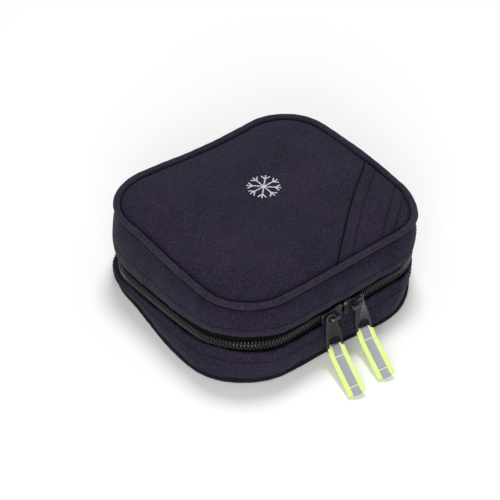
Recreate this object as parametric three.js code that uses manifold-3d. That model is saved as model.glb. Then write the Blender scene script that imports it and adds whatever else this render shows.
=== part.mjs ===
import * as THREE from 'three';
import { mergeVertices } from 'three/addons/utils/BufferGeometryUtils.js';
import Module from 'manifold-3d';

// Insulated zip-around case for insulin pens. Millimetres, +Z up, the case stands on z = 0.
// The front, where the two zip sliders meet, faces -Y. The fabric hinge is at the back, +Y.

// Case outline, measured between the centres of the lid piping
const LENGTH = 180;
const DEPTH = 168;
const CORNER = 40;
const ARC_STEPS = 8;
const SIDE_STEPS = 4;

// Clearances
const CLEAR = 0.3;
const RUN = 0.4;

// Heights. The zip runs lower towards the hinge: by ZIP_FALL from the front to the back.
const ZIP_Z = 37;
const ZIP_FALL = 18;
const PIPING_Z = 70.5;
const PIPING_R = 2.5;
const PIPING_SIDES = 8;
const BASE_PIPING_OUT = 5;

// Fabric, foam and liner
const FABRIC = 1.2;
const BOTTOM = 1.4;
const BOARD = 5;
const FOAM_IN = -4.4;
const LINER = 0.6;
const CROWN = 5;
const CROWN_REACH = 58;
const CROWN_RINGS = 6;

// Side bands: how far they stand out at the folded hems and how far the fabric is drawn out between
const HEM_OUT = 8;
const HEM_FOLD = 5.4;
const BAND_PULL = 10;
const BAND_STEPS = 6;

// Zip
const TAPE_T = 0.6;
const CHAIN_T = 1.8;
const CHAIN_RIB = 0.7;
const CHAIN_HALF = 5.2;
const CHAIN_SLOT = 1;
const TOOTH_PITCH = 3;
const TOOTH_DIP = 0.7;
const HEM_HALF = CHAIN_HALF + 2;
const TAPE_HALF = HEM_HALF + 3;

// Sliders
const SLIDERS_MEET_X = -3.4;
const SLIDER_LENGTH = 19;
const SLIDER_GAP = 1.2;
const PLATE_T = 1.5;
const WEB_LENGTH = 7;
const BAIL_SPAN = 9;
const BAIL_RISE = 6;
const BAIL_BAR = 1.7;
const BAIL_WIDE = 2.2;

// Metal pull tabs
const TAB_T = 1.5;
const TAB_LENGTH = 25;
const TAB_TOP = 8.2;
const TAB_BOTTOM = 14.8;
const TAB_EYE_R = 2.1;
const TAB_HOLE_R = 5.2;
const TAB_BAR = 2;
const TAB_LEAN = THREE.MathUtils.degToRad(14);

// Webbing pulls
const WEB_T = 1.2;
const TAPE_LENGTH = 42;
const TAPE_WIDE = 14.5;
const TAPE_NECK = 8;
const TAPE_YAW = THREE.MathUtils.degToRad(12);
const TAPE_END_Z = 2.4;
const STRIP_WIDE = 6.6;
const STRIP_T = 0.4;

// Corner strap on the lid
const STRAP_T = 1.6;
const STRAP_WIDE = 33;
const STRAP_NEAR = 63;
const STRAP_ANGLE = THREE.MathUtils.degToRad(39.5);
const STRAP_STEPS = 10;

// Inside
const GEL_LENGTH = 132;
const GEL_DEPTH = 100;
const GEL_T = 11;
const GEL_CORNER = 14;
const NET_MARGIN = 5;
const NET_COLUMNS = 10;
const NET_ROWS = 7;
const NET_CORD = 1.6;
const NET_T = 0.8;
const CARD_T = 1.6;
const CARD_MARGIN = 8;
const LOOPS = 5;
const LOOP_RISE = 3.4;
const LOOP_FLAT = 5;
const LOOP_STRIP = 22;
const LOOP_T = 1;
const LOOP_APART = 0.27;

const wasm = await Module();
wasm.setup();

const halfX = LENGTH / 2;
const halfY = DEPTH / 2;

// Offsets outward from the piping line, worked out from the zip recess inward and outward
const tapeOut = HEM_OUT - 2 * FABRIC - CLEAR;
const tapeIn = tapeOut - TAPE_T;
const chainIn = tapeOut + CLEAR;
const chainOut = chainIn + CHAIN_T;
const backPlateOut = tapeIn - RUN;
const backPlateIn = backPlateOut - PLATE_T;
const frontPlateIn = chainOut + RUN;
const frontPlateOut = frontPlateIn + PLATE_T;
const lipOut = backPlateIn - RUN;
const linerOut = FOAM_IN - CLEAR;
const linerIn = linerOut - LINER;

// Heights worked out from the outside inward
const bandTopZ = PIPING_Z - PIPING_R - CLEAR;
const basePipingZ = PIPING_R + CLEAR / 2;
const bandBottomZ = basePipingZ + PIPING_R + CLEAR;
const floorBoardZ = BOTTOM + CLEAR;
const floorLinerZ = floorBoardZ + BOARD + CLEAR;
const cardZ = floorLinerZ + LINER + CLEAR;
const panelEdgeZ = PIPING_Z + FABRIC / 2;
const lidBoardZ = panelEdgeZ - FABRIC - CLEAR - BOARD;
const lidLinerZ = lidBoardZ - CLEAR - LINER;
const gelZ = lidLinerZ - CLEAR - GEL_T / 2;
const netZ = gelZ - GEL_T / 2 - CLEAR - NET_T;

const caseShape = { hx: halfX, hy: halfY, r: CORNER };

// Height of a point once the zip has fallen towards the hinge. All between the two hems falls with the zip,
// and the bands shorten or lengthen evenly up to their piping.
function fallen(y, z) {
  const lowHem = ZIP_Z - HEM_HALF;
  const highHem = ZIP_Z + HEM_HALF;
  const below = (z - bandBottomZ) / (lowHem - bandBottomZ);
  const above = (bandTopZ - z) / (bandTopZ - highHem);
  const share = THREE.MathUtils.clamp(Math.min(below, above), 0, 1);
  return z - ZIP_FALL * share * Math.max((y + halfY) / DEPTH, 0);
}

function level(y, z) {
  return z;
}

// Stations round a rounded rectangle, counter-clockwise from the back left corner to the back right one.
// Each has a point on the outline and the outward direction there. The left and right sides, where the zip
// slopes, have stations between their ends too.
function stationsOf(shape) {
  const cornerX = shape.hx - shape.r;
  const cornerY = shape.hy - shape.r;
  const list = [];
  for (let corner = 1; corner <= 4; corner += 1) {
    for (let step = 0; step <= ARC_STEPS; step += 1) {
      const angle = (corner + step / ARC_STEPS) * Math.PI / 2;
      const nx = Math.cos(angle);
      const ny = Math.sin(angle);
      const sideX = corner === 1 || corner === 2 ? -1 : 1;
      const sideY = corner === 1 || corner === 4 ? 1 : -1;
      list.push({ x: sideX * cornerX + shape.r * nx, y: sideY * cornerY + shape.r * ny, nx, ny });
    }
    for (let step = 1; step < SIDE_STEPS && corner % 2 === 1; step += 1) {
      const nx = corner === 1 ? -1 : 1;
      list.push({ x: nx * shape.hx, y: nx * cornerY * (2 * step / SIDE_STEPS - 1), nx, ny: 0 });
    }
  }
  return list;
}

// The same outline moved in or out by an offset, also past the point where the corners would turn sharp
function inset(shape, offset) {
  return { hx: shape.hx + offset, hy: shape.hy + offset, r: Math.max(shape.r + offset, 1) };
}

// Signed distance from the case outline, below zero inside
function depthAt(x, y) {
  const qx = Math.abs(x) - (halfX - CORNER);
  const qy = Math.abs(y) - (halfY - CORNER);
  const outside = Math.hypot(Math.max(qx, 0), Math.max(qy, 0));
  return outside + Math.min(Math.max(qx, qy), 0) - CORNER;
}

// Height of the lid's crown over its edge at a distance inside the outline
function crownAt(offset) {
  const reach = THREE.MathUtils.clamp(-offset / CROWN_REACH, 0, 1);
  return CROWN * (1 - (1 - reach) ** 2.4);
}

// A closed solid from rings with one number of points each, with caps or joined end to end
function solidFromRings(rings, joined) {
  const count = rings[0].length;
  const positions = rings.flat(2);
  const index = [];
  const last = joined ? rings.length : rings.length - 1;
  for (let k = 0; k < last; k += 1) {
    const a = k * count;
    const b = ((k + 1) % rings.length) * count;
    for (let j = 0; j < count; j += 1) {
      const next = (j + 1) % count;
      index.push(a + j, b + j, b + next, a + j, b + next, a + next);
    }
  }
  const geometry = new THREE.BufferGeometry();
  geometry.setAttribute('position', new THREE.Float32BufferAttribute(positions, 3));
  geometry.setIndex(index);
  return geometry;
}

// Adds two flat end caps to a run of rings, from the flat profile that was carried
function capEnds(geometry, profile, ringCount) {
  const count = profile.length;
  const index = Array.from(geometry.index.array);
  const faces = THREE.ShapeUtils.triangulateShape(profile.map(([u, v]) => new THREE.Vector2(u, v)), []);
  const far = (ringCount - 1) * count;
  for (const [a, b, c] of faces) {
    index.push(a, b, c);
    index.push(far + a, far + c, far + b);
  }
  geometry.setIndex(index);
  return geometry;
}

// One profile point of [offset, z] at a station
function placed(s, [d, z], height) {
  const y = s.y + d * s.ny;
  return [s.x + d * s.nx, y, height(y, z)];
}

// Carries a profile of [offset, z] points, counter-clockwise, along a list of stations
function carry(profile, stations, closed, height = fallen) {
  const rings = stations.map((s) => profile.map((p) => placed(s, p, height)));
  const geometry = solidFromRings(rings, closed);
  return closed ? geometry : capEnds(geometry, profile, rings.length);
}

// A solid of revolution, but round a rounded rectangle: [offset, z] points from the middle of the
// underside, out and back to the middle of the top. A point with a third entry uses it to find its height.
function bowl(profile, shape) {
  const rings = profile.map(([d, z, height = level]) => (
    stationsOf(inset(shape, d)).map((s) => [s.x, s.y, height(s.y, z)])
  ));
  const geometry = solidFromRings(rings, false);
  const count = rings[0].length;
  const positions = Array.from(geometry.attributes.position.array);
  const index = Array.from(geometry.index.array).reverse();
  const low = positions.length / 3;
  const high = low + 1;
  const far = (rings.length - 1) * count;
  positions.push(0, 0, profile[0][1], 0, 0, profile[profile.length - 1][1]);
  for (let j = 0; j < count; j += 1) {
    const next = (j + 1) % count;
    index.push(low, next, j);
    index.push(high, far + j, far + next);
  }
  geometry.setAttribute('position', new THREE.Float32BufferAttribute(positions, 3));
  geometry.setIndex(index);
  return geometry;
}

// Boolean work on closed geometries
function toSolid(geometry) {
  const bare = new THREE.BufferGeometry();
  bare.setAttribute('position', geometry.attributes.position);
  if (geometry.index) {
    bare.setIndex(geometry.index);
  }
  const merged = mergeVertices(bare, 1e-4);
  const mesh = new wasm.Mesh({
    numProp: 3,
    vertProperties: new Float32Array(merged.attributes.position.array),
    triVerts: new Uint32Array(merged.index.array),
  });
  return new wasm.Manifold(mesh);
}

function toGeometry(solid) {
  const mesh = solid.getMesh();
  const geometry = new THREE.BufferGeometry();
  geometry.setAttribute('position', new THREE.Float32BufferAttribute(mesh.vertProperties, 3));
  geometry.setIndex(Array.from(mesh.triVerts));
  return geometry;
}

function union(geometries) {
  const solids = geometries.map(toSolid);
  return toGeometry(solids.reduce((a, b) => a.add(b)));
}

function common(a, b) {
  return toGeometry(toSolid(a).intersect(toSolid(b)));
}

// A flat shape given thickness, with the shape's y turned to the world's z and its front facing -Y
function frontPlate(shape, offsetIn, offsetOut) {
  const geometry = new THREE.ExtrudeGeometry(shape, {
    depth: offsetOut - offsetIn,
    bevelEnabled: false,
    curveSegments: 6,
  });
  geometry.rotateX(Math.PI / 2);
  geometry.translate(0, -halfY - offsetIn, 0);
  return geometry;
}

// Outer line of a side band, from its edge by the piping to its hem by the zip
function bandLine(pipingOut, pipingZ, hemZ) {
  const middleZ = (pipingZ + hemZ) / 2;
  const curve = new THREE.QuadraticBezierCurve(
    new THREE.Vector2(pipingOut + FABRIC / 2, pipingZ),
    new THREE.Vector2(BAND_PULL, middleZ),
    new THREE.Vector2(HEM_OUT, hemZ),
  );
  return curve.getPoints(BAND_STEPS).map((p) => [p.x, p.y]);
}

const lidLine = bandLine(0, bandTopZ, ZIP_Z + HEM_HALF);
const baseLine = bandLine(BASE_PIPING_OUT, bandBottomZ, ZIP_Z - HEM_HALF);
const widest = Math.max(...lidLine.concat(baseLine).map(([d]) => d));
const hingeY = halfY + widest + CLEAR;

const allRound = stationsOf(caseShape);

// Two stations on the straight back, where the fabric hinge sits between the ends of the bands
function backStations() {
  const end = halfX - CORNER - CLEAR;
  return [{ x: end, y: halfY, nx: 0, ny: 1 }, { x: -end, y: halfY, nx: 0, ny: 1 }];
}

// Lists a profile counter-clockwise, whichever way it was drawn
function facing(profile) {
  const area = THREE.ShapeUtils.area(profile.map(([u, v]) => new THREE.Vector2(u, v)));
  return area > 0 ? profile : profile.slice().reverse();
}

// Point of a band line at a height
function lineAt(line, z) {
  const k = line.findIndex(([, zk], i) => i > 0 && (zk - z) * (line[i - 1][1] - z) <= 0);
  const [d0, z0] = line[k - 1];
  const [d1, z1] = line[k];
  return d0 + (d1 - d0) * (z - z0) / (z1 - z0);
}

// Side band: one fabric thickness, doubled at the hem where it is folded over the zip tape
function sideBand(line, side) {
  const hemZ = line[line.length - 1][1];
  const foldZ = hemZ + side * HEM_FOLD;
  const above = line.filter(([, z]) => side * (z - foldZ) > FABRIC);
  const inner = above.map(([d, z]) => [d - FABRIC, z]);
  const fold = HEM_OUT - 2 * FABRIC;
  const foldTop = lineAt(line, foldZ) - FABRIC;
  inner.push([foldTop, foldZ], [fold, foldZ], [fold, hemZ]);
  return carry(facing(line.concat(inner.reverse())), allRound, false);
}

// One leaf of the fabric hinge, which follows the band and then runs straight to the fold
function hingeLeaf(line, side) {
  const hem = line[line.length - 1];
  const outer = line.concat([[hem[0], ZIP_Z + side * CLEAR]]);
  const inner = outer.map(([d, z]) => [d - FABRIC, z]).reverse();
  return carry(facing(outer.concat(inner)), backStations(), false);
}

// Height where the full foam wall ends and the thinner rim begins, just past the folded hem
function stepHeight(line, side) {
  return line[line.length - 1][1] + side * (HEM_FOLD + CLEAR);
}

// Foam wall behind a band, from the piping to the end of the folded hem
function wallFoam(line, side) {
  const stepZ = stepHeight(line, side);
  const outer = line.filter(([, z]) => side * (z - stepZ) > CLEAR).map(([d, z]) => [d - FABRIC - CLEAR, z]);
  const stepOut = lineAt(line, stepZ) - FABRIC - CLEAR;
  return carry(facing(outer.concat([[stepOut, stepZ], [FOAM_IN, stepZ], [FOAM_IN, outer[0][1]]])), allRound, true);
}

// Rim strip on the foam wall, thinner, so that the sliders can pass between it and the zip
function rimFoam(line, side) {
  const footZ = stepHeight(line, side) - side * CLEAR;
  const endZ = ZIP_Z + side * CLEAR;
  return carry(facing([[lipOut, footZ], [lipOut, endZ], [FOAM_IN, endZ], [FOAM_IN, footZ]]), allRound, true);
}

function piping(out, z) {
  const profile = [];
  for (let k = 0; k < PIPING_SIDES; k += 1) {
    const angle = 2 * Math.PI * k / PIPING_SIDES;
    profile.push([out + PIPING_R * Math.cos(angle), z + PIPING_R * Math.sin(angle)]);
  }
  return carry(facing(profile), allRound, true);
}

function zipTape(side) {
  const nearZ = ZIP_Z + side * (CHAIN_SLOT + CLEAR);
  const farZ = ZIP_Z + side * TAPE_HALF;
  return carry(facing([[tapeIn, nearZ], [tapeOut, nearZ], [tapeOut, farZ], [tapeIn, farZ]]), allRound, false);
}

// Stations at equal steps along the zip, two to each tooth
function toothStations() {
  const path = allRound.map((s) => new THREE.Vector2(s.x, s.y));
  const lengths = [0];
  for (let k = 1; k < path.length; k += 1) {
    lengths.push(lengths[k - 1] + path[k].distanceTo(path[k - 1]));
  }
  const total = lengths[lengths.length - 1];
  const steps = 2 * Math.round(total / TOOTH_PITCH);
  const list = [];
  let k = 1;
  for (let i = 0; i <= steps; i += 1) {
    const at = total * i / steps;
    while (k < path.length - 1 && lengths[k] < at) {
      k += 1;
    }
    const t = (at - lengths[k - 1]) / (lengths[k] - lengths[k - 1]);
    const a = allRound[k - 1];
    const b = allRound[k];
    const nx = a.nx + (b.nx - a.nx) * t;
    const ny = a.ny + (b.ny - a.ny) * t;
    list.push({ x: a.x + (b.x - a.x) * t, y: a.y + (b.y - a.y) * t, nx, ny });
  }
  return list;
}

// Half a zip chain: a rib for each tooth, with a head that reaches the parting line. The two halves
// are half a pitch apart, so that the teeth stand in turn.
function zipChain(side) {
  const stations = toothStations();
  const shift = side > 0 ? 0 : 1;
  const profiles = stations.map((s, i) => {
    const peak = (i + shift) % 2 === 0;
    const out = peak ? chainOut : chainOut - CHAIN_RIB;
    const headZ = ZIP_Z + side * (CHAIN_SLOT / 2 + (peak ? 0 : TOOTH_DIP));
    const rootZ = ZIP_Z + side * CHAIN_HALF;
    return facing([[chainIn, headZ], [out, headZ], [out, rootZ], [chainIn, rootZ]]);
  });
  const rings = stations.map((s, i) => profiles[i].map((p) => placed(s, p, fallen)));
  return capEnds(solidFromRings(rings, false), profiles[0], rings.length);
}

// Crowned sheet of the lid: rings from the edge inward, at a height below the outer face
function crownRings(edge, drop) {
  const rings = [];
  for (let k = 0; k < CROWN_RINGS; k += 1) {
    const t = k / (CROWN_RINGS - 1);
    const offset = edge - (CROWN_REACH + edge) * t ** 1.6;
    rings.push([offset, panelEdgeZ + crownAt(offset) - crownAt(edge) - drop]);
  }
  return rings;
}

const panelEdge = -PIPING_R - CLEAR;

function lidTopPanel() {
  const top = crownRings(panelEdge, 0);
  const under = crownRings(panelEdge, FABRIC).reverse();
  return bowl(under.concat(top), caseShape);
}

function lidTopFoam() {
  const top = crownRings(FOAM_IN - CLEAR, FABRIC + CLEAR);
  const settle = crownAt(FOAM_IN - CLEAR) - crownAt(panelEdge);
  const rise = top.map(([d, z]) => [d, z + settle]);
  return bowl([[FOAM_IN - CLEAR, lidBoardZ]].concat(rise), caseShape);
}

function bottomPanel() {
  const edge = BASE_PIPING_OUT - PIPING_R - CLEAR;
  return bowl([[edge, 0], [edge, BOTTOM]], caseShape);
}

function floorFoam() {
  const edge = FOAM_IN - CLEAR;
  return bowl([[edge, floorBoardZ], [edge, floorBoardZ + BOARD]], caseShape);
}

function baseLiner() {
  const rimZ = ZIP_Z - CLEAR;
  const floorTop = floorLinerZ + LINER;
  const rim = [[linerOut, rimZ, fallen], [linerIn, rimZ, fallen]];
  return bowl([[linerOut, floorLinerZ], ...rim, [linerIn, floorTop]], caseShape);
}

function lidLiner() {
  const rimZ = ZIP_Z + CLEAR;
  const roof = lidLinerZ + LINER;
  const rim = [[linerIn, rimZ, fallen], [linerOut, rimZ, fallen]];
  return bowl([[linerIn, lidLinerZ], ...rim, [linerOut, roof]], caseShape);
}

// Gel pack: a filled pouch with a flat welded seam round its middle
function gelPack() {
  const shape = { hx: GEL_LENGTH / 2, hy: GEL_DEPTH / 2, r: GEL_CORNER };
  const half = GEL_T / 2;
  const rings = [[0, 0.14], [-4, 0.2], [-9, 0.66], [-16, 0.9], [-26, 1]];
  const top = rings.map(([d, h]) => [d, gelZ + half * h]);
  const under = rings.map(([d, h]) => [d, gelZ - half * h]).reverse();
  return bowl(under.concat(top), shape);
}

const netHalfX = GEL_LENGTH / 2 + NET_MARGIN;
const netHalfY = GEL_DEPTH / 2 + NET_MARGIN;

// Net that holds the gel pack in the lid
function netPanel() {
  const sheet = new THREE.Shape();
  sheet.moveTo(-netHalfX, -netHalfY);
  sheet.lineTo(netHalfX, -netHalfY);
  sheet.lineTo(netHalfX, netHalfY);
  sheet.lineTo(-netHalfX, netHalfY);
  const stepX = 2 * (netHalfX - NET_CORD) / NET_COLUMNS;
  const stepY = 2 * (netHalfY - NET_CORD) / NET_ROWS;
  for (let i = 0; i < NET_COLUMNS; i += 1) {
    for (let j = 0; j < NET_ROWS; j += 1) {
      const x = -netHalfX + NET_CORD + (i + 0.5) * stepX;
      const y = -netHalfY + NET_CORD + (j + 0.5) * stepY;
      const wide = (stepX - NET_CORD) / 2;
      const tall = (stepY - NET_CORD) / 2;
      const hole = new THREE.Path();
      hole.moveTo(x - wide, y);
      hole.lineTo(x, y + tall);
      hole.lineTo(x + wide, y);
      hole.lineTo(x, y - tall);
      sheet.holes.push(hole);
    }
  }
  const geometry = new THREE.ExtrudeGeometry(sheet, { depth: NET_T, bevelEnabled: false });
  geometry.translate(0, 0, netZ);
  return geometry;
}

// Fabric gusset that stands round the gel pack and carries the net
function netGusset() {
  const shape = { hx: netHalfX, hy: netHalfY, r: NET_CORD };
  const top = lidLinerZ - CLEAR;
  const low = netZ + NET_T + CLEAR;
  return carry(facing([[0, low], [0, top], [-FABRIC, top], [-FABRIC, low]]), stationsOf(shape), true, level);
}

const cardHalfX = halfX + linerIn - CARD_MARGIN;
const cardHalfY = halfY + linerIn - CARD_MARGIN;

// Stiff card that carries the pen loops on the floor of the base
function penCard() {
  const shape = { hx: cardHalfX, hy: cardHalfY, r: CORNER + linerIn - CARD_MARGIN };
  return bowl([[0, cardZ], [0, cardZ + CARD_T]], shape);
}

// Elastic strip sewn down at intervals, with a low empty loop between each two seams
function penLoops(side) {
  const length = 2 * (cardHalfY - CARD_MARGIN);
  const pitch = (length - LOOP_FLAT) / LOOPS;
  const low = cardZ + CARD_T + CLEAR;
  const under = [[-length / 2, low], [-length / 2 + LOOP_FLAT, low]];
  for (let k = 0; k < LOOPS; k += 1) {
    const from = -length / 2 + LOOP_FLAT + k * pitch;
    const arch = pitch - LOOP_FLAT;
    under.push([from + arch * 0.12, low + LOOP_RISE * 0.7]);
    under.push([from + arch * 0.34, low + LOOP_RISE]);
    under.push([from + arch * 0.66, low + LOOP_RISE]);
    under.push([from + arch * 0.88, low + LOOP_RISE * 0.7]);
    under.push([from + arch, low]);
    under.push([from + pitch, low]);
  }
  const over = under.map(([y, z]) => [y, z + LOOP_T]).reverse();
  const outline = new THREE.Shape(under.concat(over).map(([y, z]) => new THREE.Vector2(y, z)));
  const geometry = new THREE.ExtrudeGeometry(outline, { depth: LOOP_STRIP, bevelEnabled: false });
  geometry.rotateX(Math.PI / 2);
  geometry.rotateZ(Math.PI / 2);
  geometry.translate(side * LOOP_APART * LENGTH - LOOP_STRIP / 2, 0, 0);
  return geometry;
}

// Strap across one corner of the lid, between the piping on two sides
function cornerStrap() {
  const normal = new THREE.Vector2(Math.sin(STRAP_ANGLE), -Math.cos(STRAP_ANGLE));
  const along = new THREE.Vector2(Math.cos(STRAP_ANGLE), Math.sin(STRAP_ANGLE));
  const corner = new THREE.Vector2(halfX - CORNER, CORNER - halfY);
  const edge = panelEdge - CLEAR;
  const reach = (from, way) => {
    let near = 0;
    let far = way * (LENGTH + DEPTH);
    for (let k = 0; k < 40; k += 1) {
      const middle = (near + far) / 2;
      const p = from.clone().addScaledVector(along, middle);
      if (depthAt(p.x, p.y) < edge) {
        near = middle;
      } else {
        far = middle;
      }
    }
    return near;
  };
  const across = 4;
  const rows = [];
  for (let i = 0; i <= across; i += 1) {
    const out = STRAP_NEAR + STRAP_WIDE * i / across;
    const from = corner.clone().addScaledVector(normal, out - corner.dot(normal));
    const low = reach(from, -1);
    const high = reach(from, 1);
    const row = [];
    for (let k = 0; k <= STRAP_STEPS; k += 1) {
      const p = from.clone().addScaledVector(along, low + (high - low) * k / STRAP_STEPS);
      const z = panelEdgeZ + crownAt(depthAt(p.x, p.y)) - crownAt(panelEdge) + CLEAR;
      row.push([p.x, p.y, z]);
    }
    rows.push(row);
  }
  const lift = (p) => [p[0], p[1], p[2] + STRAP_T];
  const rings = [];
  for (let k = 0; k <= STRAP_STEPS; k += 1) {
    const under = rows.map((row) => row[k]);
    rings.push(under.concat(under.map(lift).reverse()));
  }
  const flat = [];
  for (let i = 0; i <= across; i += 1) {
    flat.push([i, 0]);
  }
  for (let i = across; i >= 0; i -= 1) {
    flat.push([i, 1]);
  }
  return capEnds(solidFromRings(rings, false), flat, rings.length);
}

const sliderReach = (SLIDER_LENGTH + SLIDER_GAP) / 2;
const sliderHalf = HEM_HALF - 2 * RUN;

function sliderX(side) {
  return SLIDERS_MEET_X + side * sliderReach;
}

// Outline of a slider's plate: a wide nose towards the other slider and a slimmer tail
function sliderOutline(side) {
  const nose = -side * SLIDER_LENGTH / 2;
  const tail = side * SLIDER_LENGTH / 2;
  const slim = sliderHalf * 0.74;
  const shape = new THREE.Shape();
  shape.moveTo(nose * 0.55, -sliderHalf);
  shape.quadraticCurveTo(nose, -sliderHalf, nose, -sliderHalf * 0.5);
  shape.quadraticCurveTo(nose * 0.8, 0, nose, sliderHalf * 0.5);
  shape.quadraticCurveTo(nose, sliderHalf, nose * 0.55, sliderHalf);
  shape.quadraticCurveTo(0, slim, tail * 0.6, slim);
  shape.quadraticCurveTo(tail, slim, tail, slim * 0.4);
  shape.lineTo(tail, -slim * 0.4);
  shape.quadraticCurveTo(tail, -slim, tail * 0.6, -slim);
  shape.quadraticCurveTo(0, -slim, nose * 0.55, -sliderHalf);
  return shape;
}

// Bail: an arch over the front plate that holds the pull tab
function bail() {
  const half = BAIL_SPAN / 2;
  const arch = new THREE.Shape();
  arch.moveTo(-half, 0);
  arch.lineTo(-half, BAIL_RISE * 0.6);
  arch.quadraticCurveTo(-half, BAIL_RISE, -half * 0.45, BAIL_RISE);
  arch.lineTo(half * 0.45, BAIL_RISE);
  arch.quadraticCurveTo(half, BAIL_RISE, half, BAIL_RISE * 0.6);
  arch.lineTo(half, 0);
  arch.lineTo(half - BAIL_BAR, 0);
  arch.lineTo(half - BAIL_BAR, (BAIL_RISE - BAIL_BAR) * 0.8);
  arch.lineTo(half - 1.6 * BAIL_BAR, BAIL_RISE - BAIL_BAR);
  arch.lineTo(1.6 * BAIL_BAR - half, BAIL_RISE - BAIL_BAR);
  arch.lineTo(BAIL_BAR - half, (BAIL_RISE - BAIL_BAR) * 0.8);
  arch.lineTo(BAIL_BAR - half, 0);
  const geometry = new THREE.ExtrudeGeometry(arch, { depth: BAIL_WIDE, bevelEnabled: false, curveSegments: 5 });
  geometry.rotateX(Math.PI);
  geometry.translate(0, -halfY - frontPlateOut + PLATE_T / 3, BAIL_WIDE / 2);
  return geometry;
}

// Slider: two plates joined by a web that runs in the slot between the two rows of teeth
function slider(side) {
  const front = frontPlate(sliderOutline(side), frontPlateIn, frontPlateOut);
  const back = frontPlate(sliderOutline(side), backPlateIn, backPlateOut);
  const webDeep = frontPlateOut - backPlateIn - PLATE_T;
  const web = new THREE.BoxGeometry(WEB_LENGTH, webDeep, CHAIN_SLOT - 2 * CLEAR);
  const middle = -halfY - (frontPlateOut + backPlateIn) / 2;
  web.translate(-side * SLIDER_LENGTH * 0.15, middle, 0);
  const whole = union([front, back, web, bail()]);
  whole.translate(sliderX(side), 0, ZIP_Z);
  return whole;
}

// The leg of the bail that the tab hangs on, at the tail of the slider
function eyeCentre(side) {
  const legX = sliderX(side) + side * (BAIL_SPAN - BAIL_BAR) / 2;
  const out = frontPlateOut + (BAIL_RISE - BAIL_BAR) / 2;
  return new THREE.Vector3(legX, -halfY - out, ZIP_Z);
}

// Pull tab: a keystone plate with an eye for the bail and a large hole for the webbing
function pullTab(side) {
  const top = TAB_TOP / 2;
  const wide = TAB_BOTTOM / 2;
  const foot = -TAB_LENGTH - TAB_BAR / 2;
  const plate = new THREE.Shape();
  plate.moveTo(-wide + 1, foot);
  plate.lineTo(wide - 1, foot);
  plate.quadraticCurveTo(wide, foot, wide, foot + 1.2);
  plate.lineTo(wide, foot + 5);
  plate.quadraticCurveTo(wide * 0.98, -TAB_LENGTH * 0.5, top, 0);
  plate.absarc(0, 0, top, 0, Math.PI, false);
  plate.quadraticCurveTo(-wide * 0.98, -TAB_LENGTH * 0.5, -wide, foot + 5);
  plate.lineTo(-wide, foot + 1.2);
  plate.quadraticCurveTo(-wide, foot, -wide + 1, foot);
  const eye = new THREE.Path();
  eye.absarc(0, 0, TAB_EYE_R, 0, 2 * Math.PI, true);
  const slot = new THREE.Path();
  const slotFoot = -TAB_LENGTH + TAB_BAR / 2;
  slot.moveTo(-TAB_HOLE_R, slotFoot);
  slot.lineTo(-TAB_HOLE_R, slotFoot + TAB_HOLE_R * 0.8);
  slot.absarc(0, slotFoot + TAB_HOLE_R * 0.8, TAB_HOLE_R, Math.PI, 0, true);
  slot.lineTo(TAB_HOLE_R, slotFoot);
  plate.holes.push(eye, slot);
  const geometry = new THREE.ExtrudeGeometry(plate, { depth: TAB_T, bevelEnabled: false, curveSegments: 6 });
  geometry.translate(0, 0, -TAB_T / 2);
  geometry.rotateX(Math.PI / 2 - TAB_LEAN);
  const at = eyeCentre(side);
  geometry.translate(at.x, at.y, at.z);
  return geometry;
}

// Frame of a webbing pull: where it hangs, and its length, width and thickness directions
function tapeFrame(side) {
  const hang = new THREE.Vector3(0, -Math.sin(TAB_LEAN), -Math.cos(TAB_LEAN));
  const origin = eyeCentre(side).addScaledVector(hang, TAB_LENGTH);
  const fall = Math.asin((origin.z - TAPE_END_Z) / TAPE_LENGTH);
  const length = new THREE.Vector3(-Math.sin(TAPE_YAW), -Math.cos(TAPE_YAW), 0);
  const width = new THREE.Vector3(Math.cos(TAPE_YAW), -Math.sin(TAPE_YAW), 0);
  length.multiplyScalar(Math.cos(fall));
  length.z = -Math.sin(fall);
  const up = new THREE.Vector3().crossVectors(width, length).negate();
  return { origin, length, width, up };
}

function placeOnTape(geometry, side) {
  const { origin, length, width, up } = tapeFrame(side);
  const matrix = new THREE.Matrix4().makeBasis(length, up, new THREE.Vector3().crossVectors(length, up));
  matrix.setPosition(origin);
  geometry.applyMatrix4(matrix);
  return geometry;
}

// Room in the fold of the webbing for the bar of the tab, which lies askew in it
const loopHigh = Math.hypot(TAB_BAR, TAB_T) / 2 + TAPE_NECK * Math.sin(TAPE_YAW) / 2 + CLEAR;
const loopLong = loopHigh;

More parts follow.
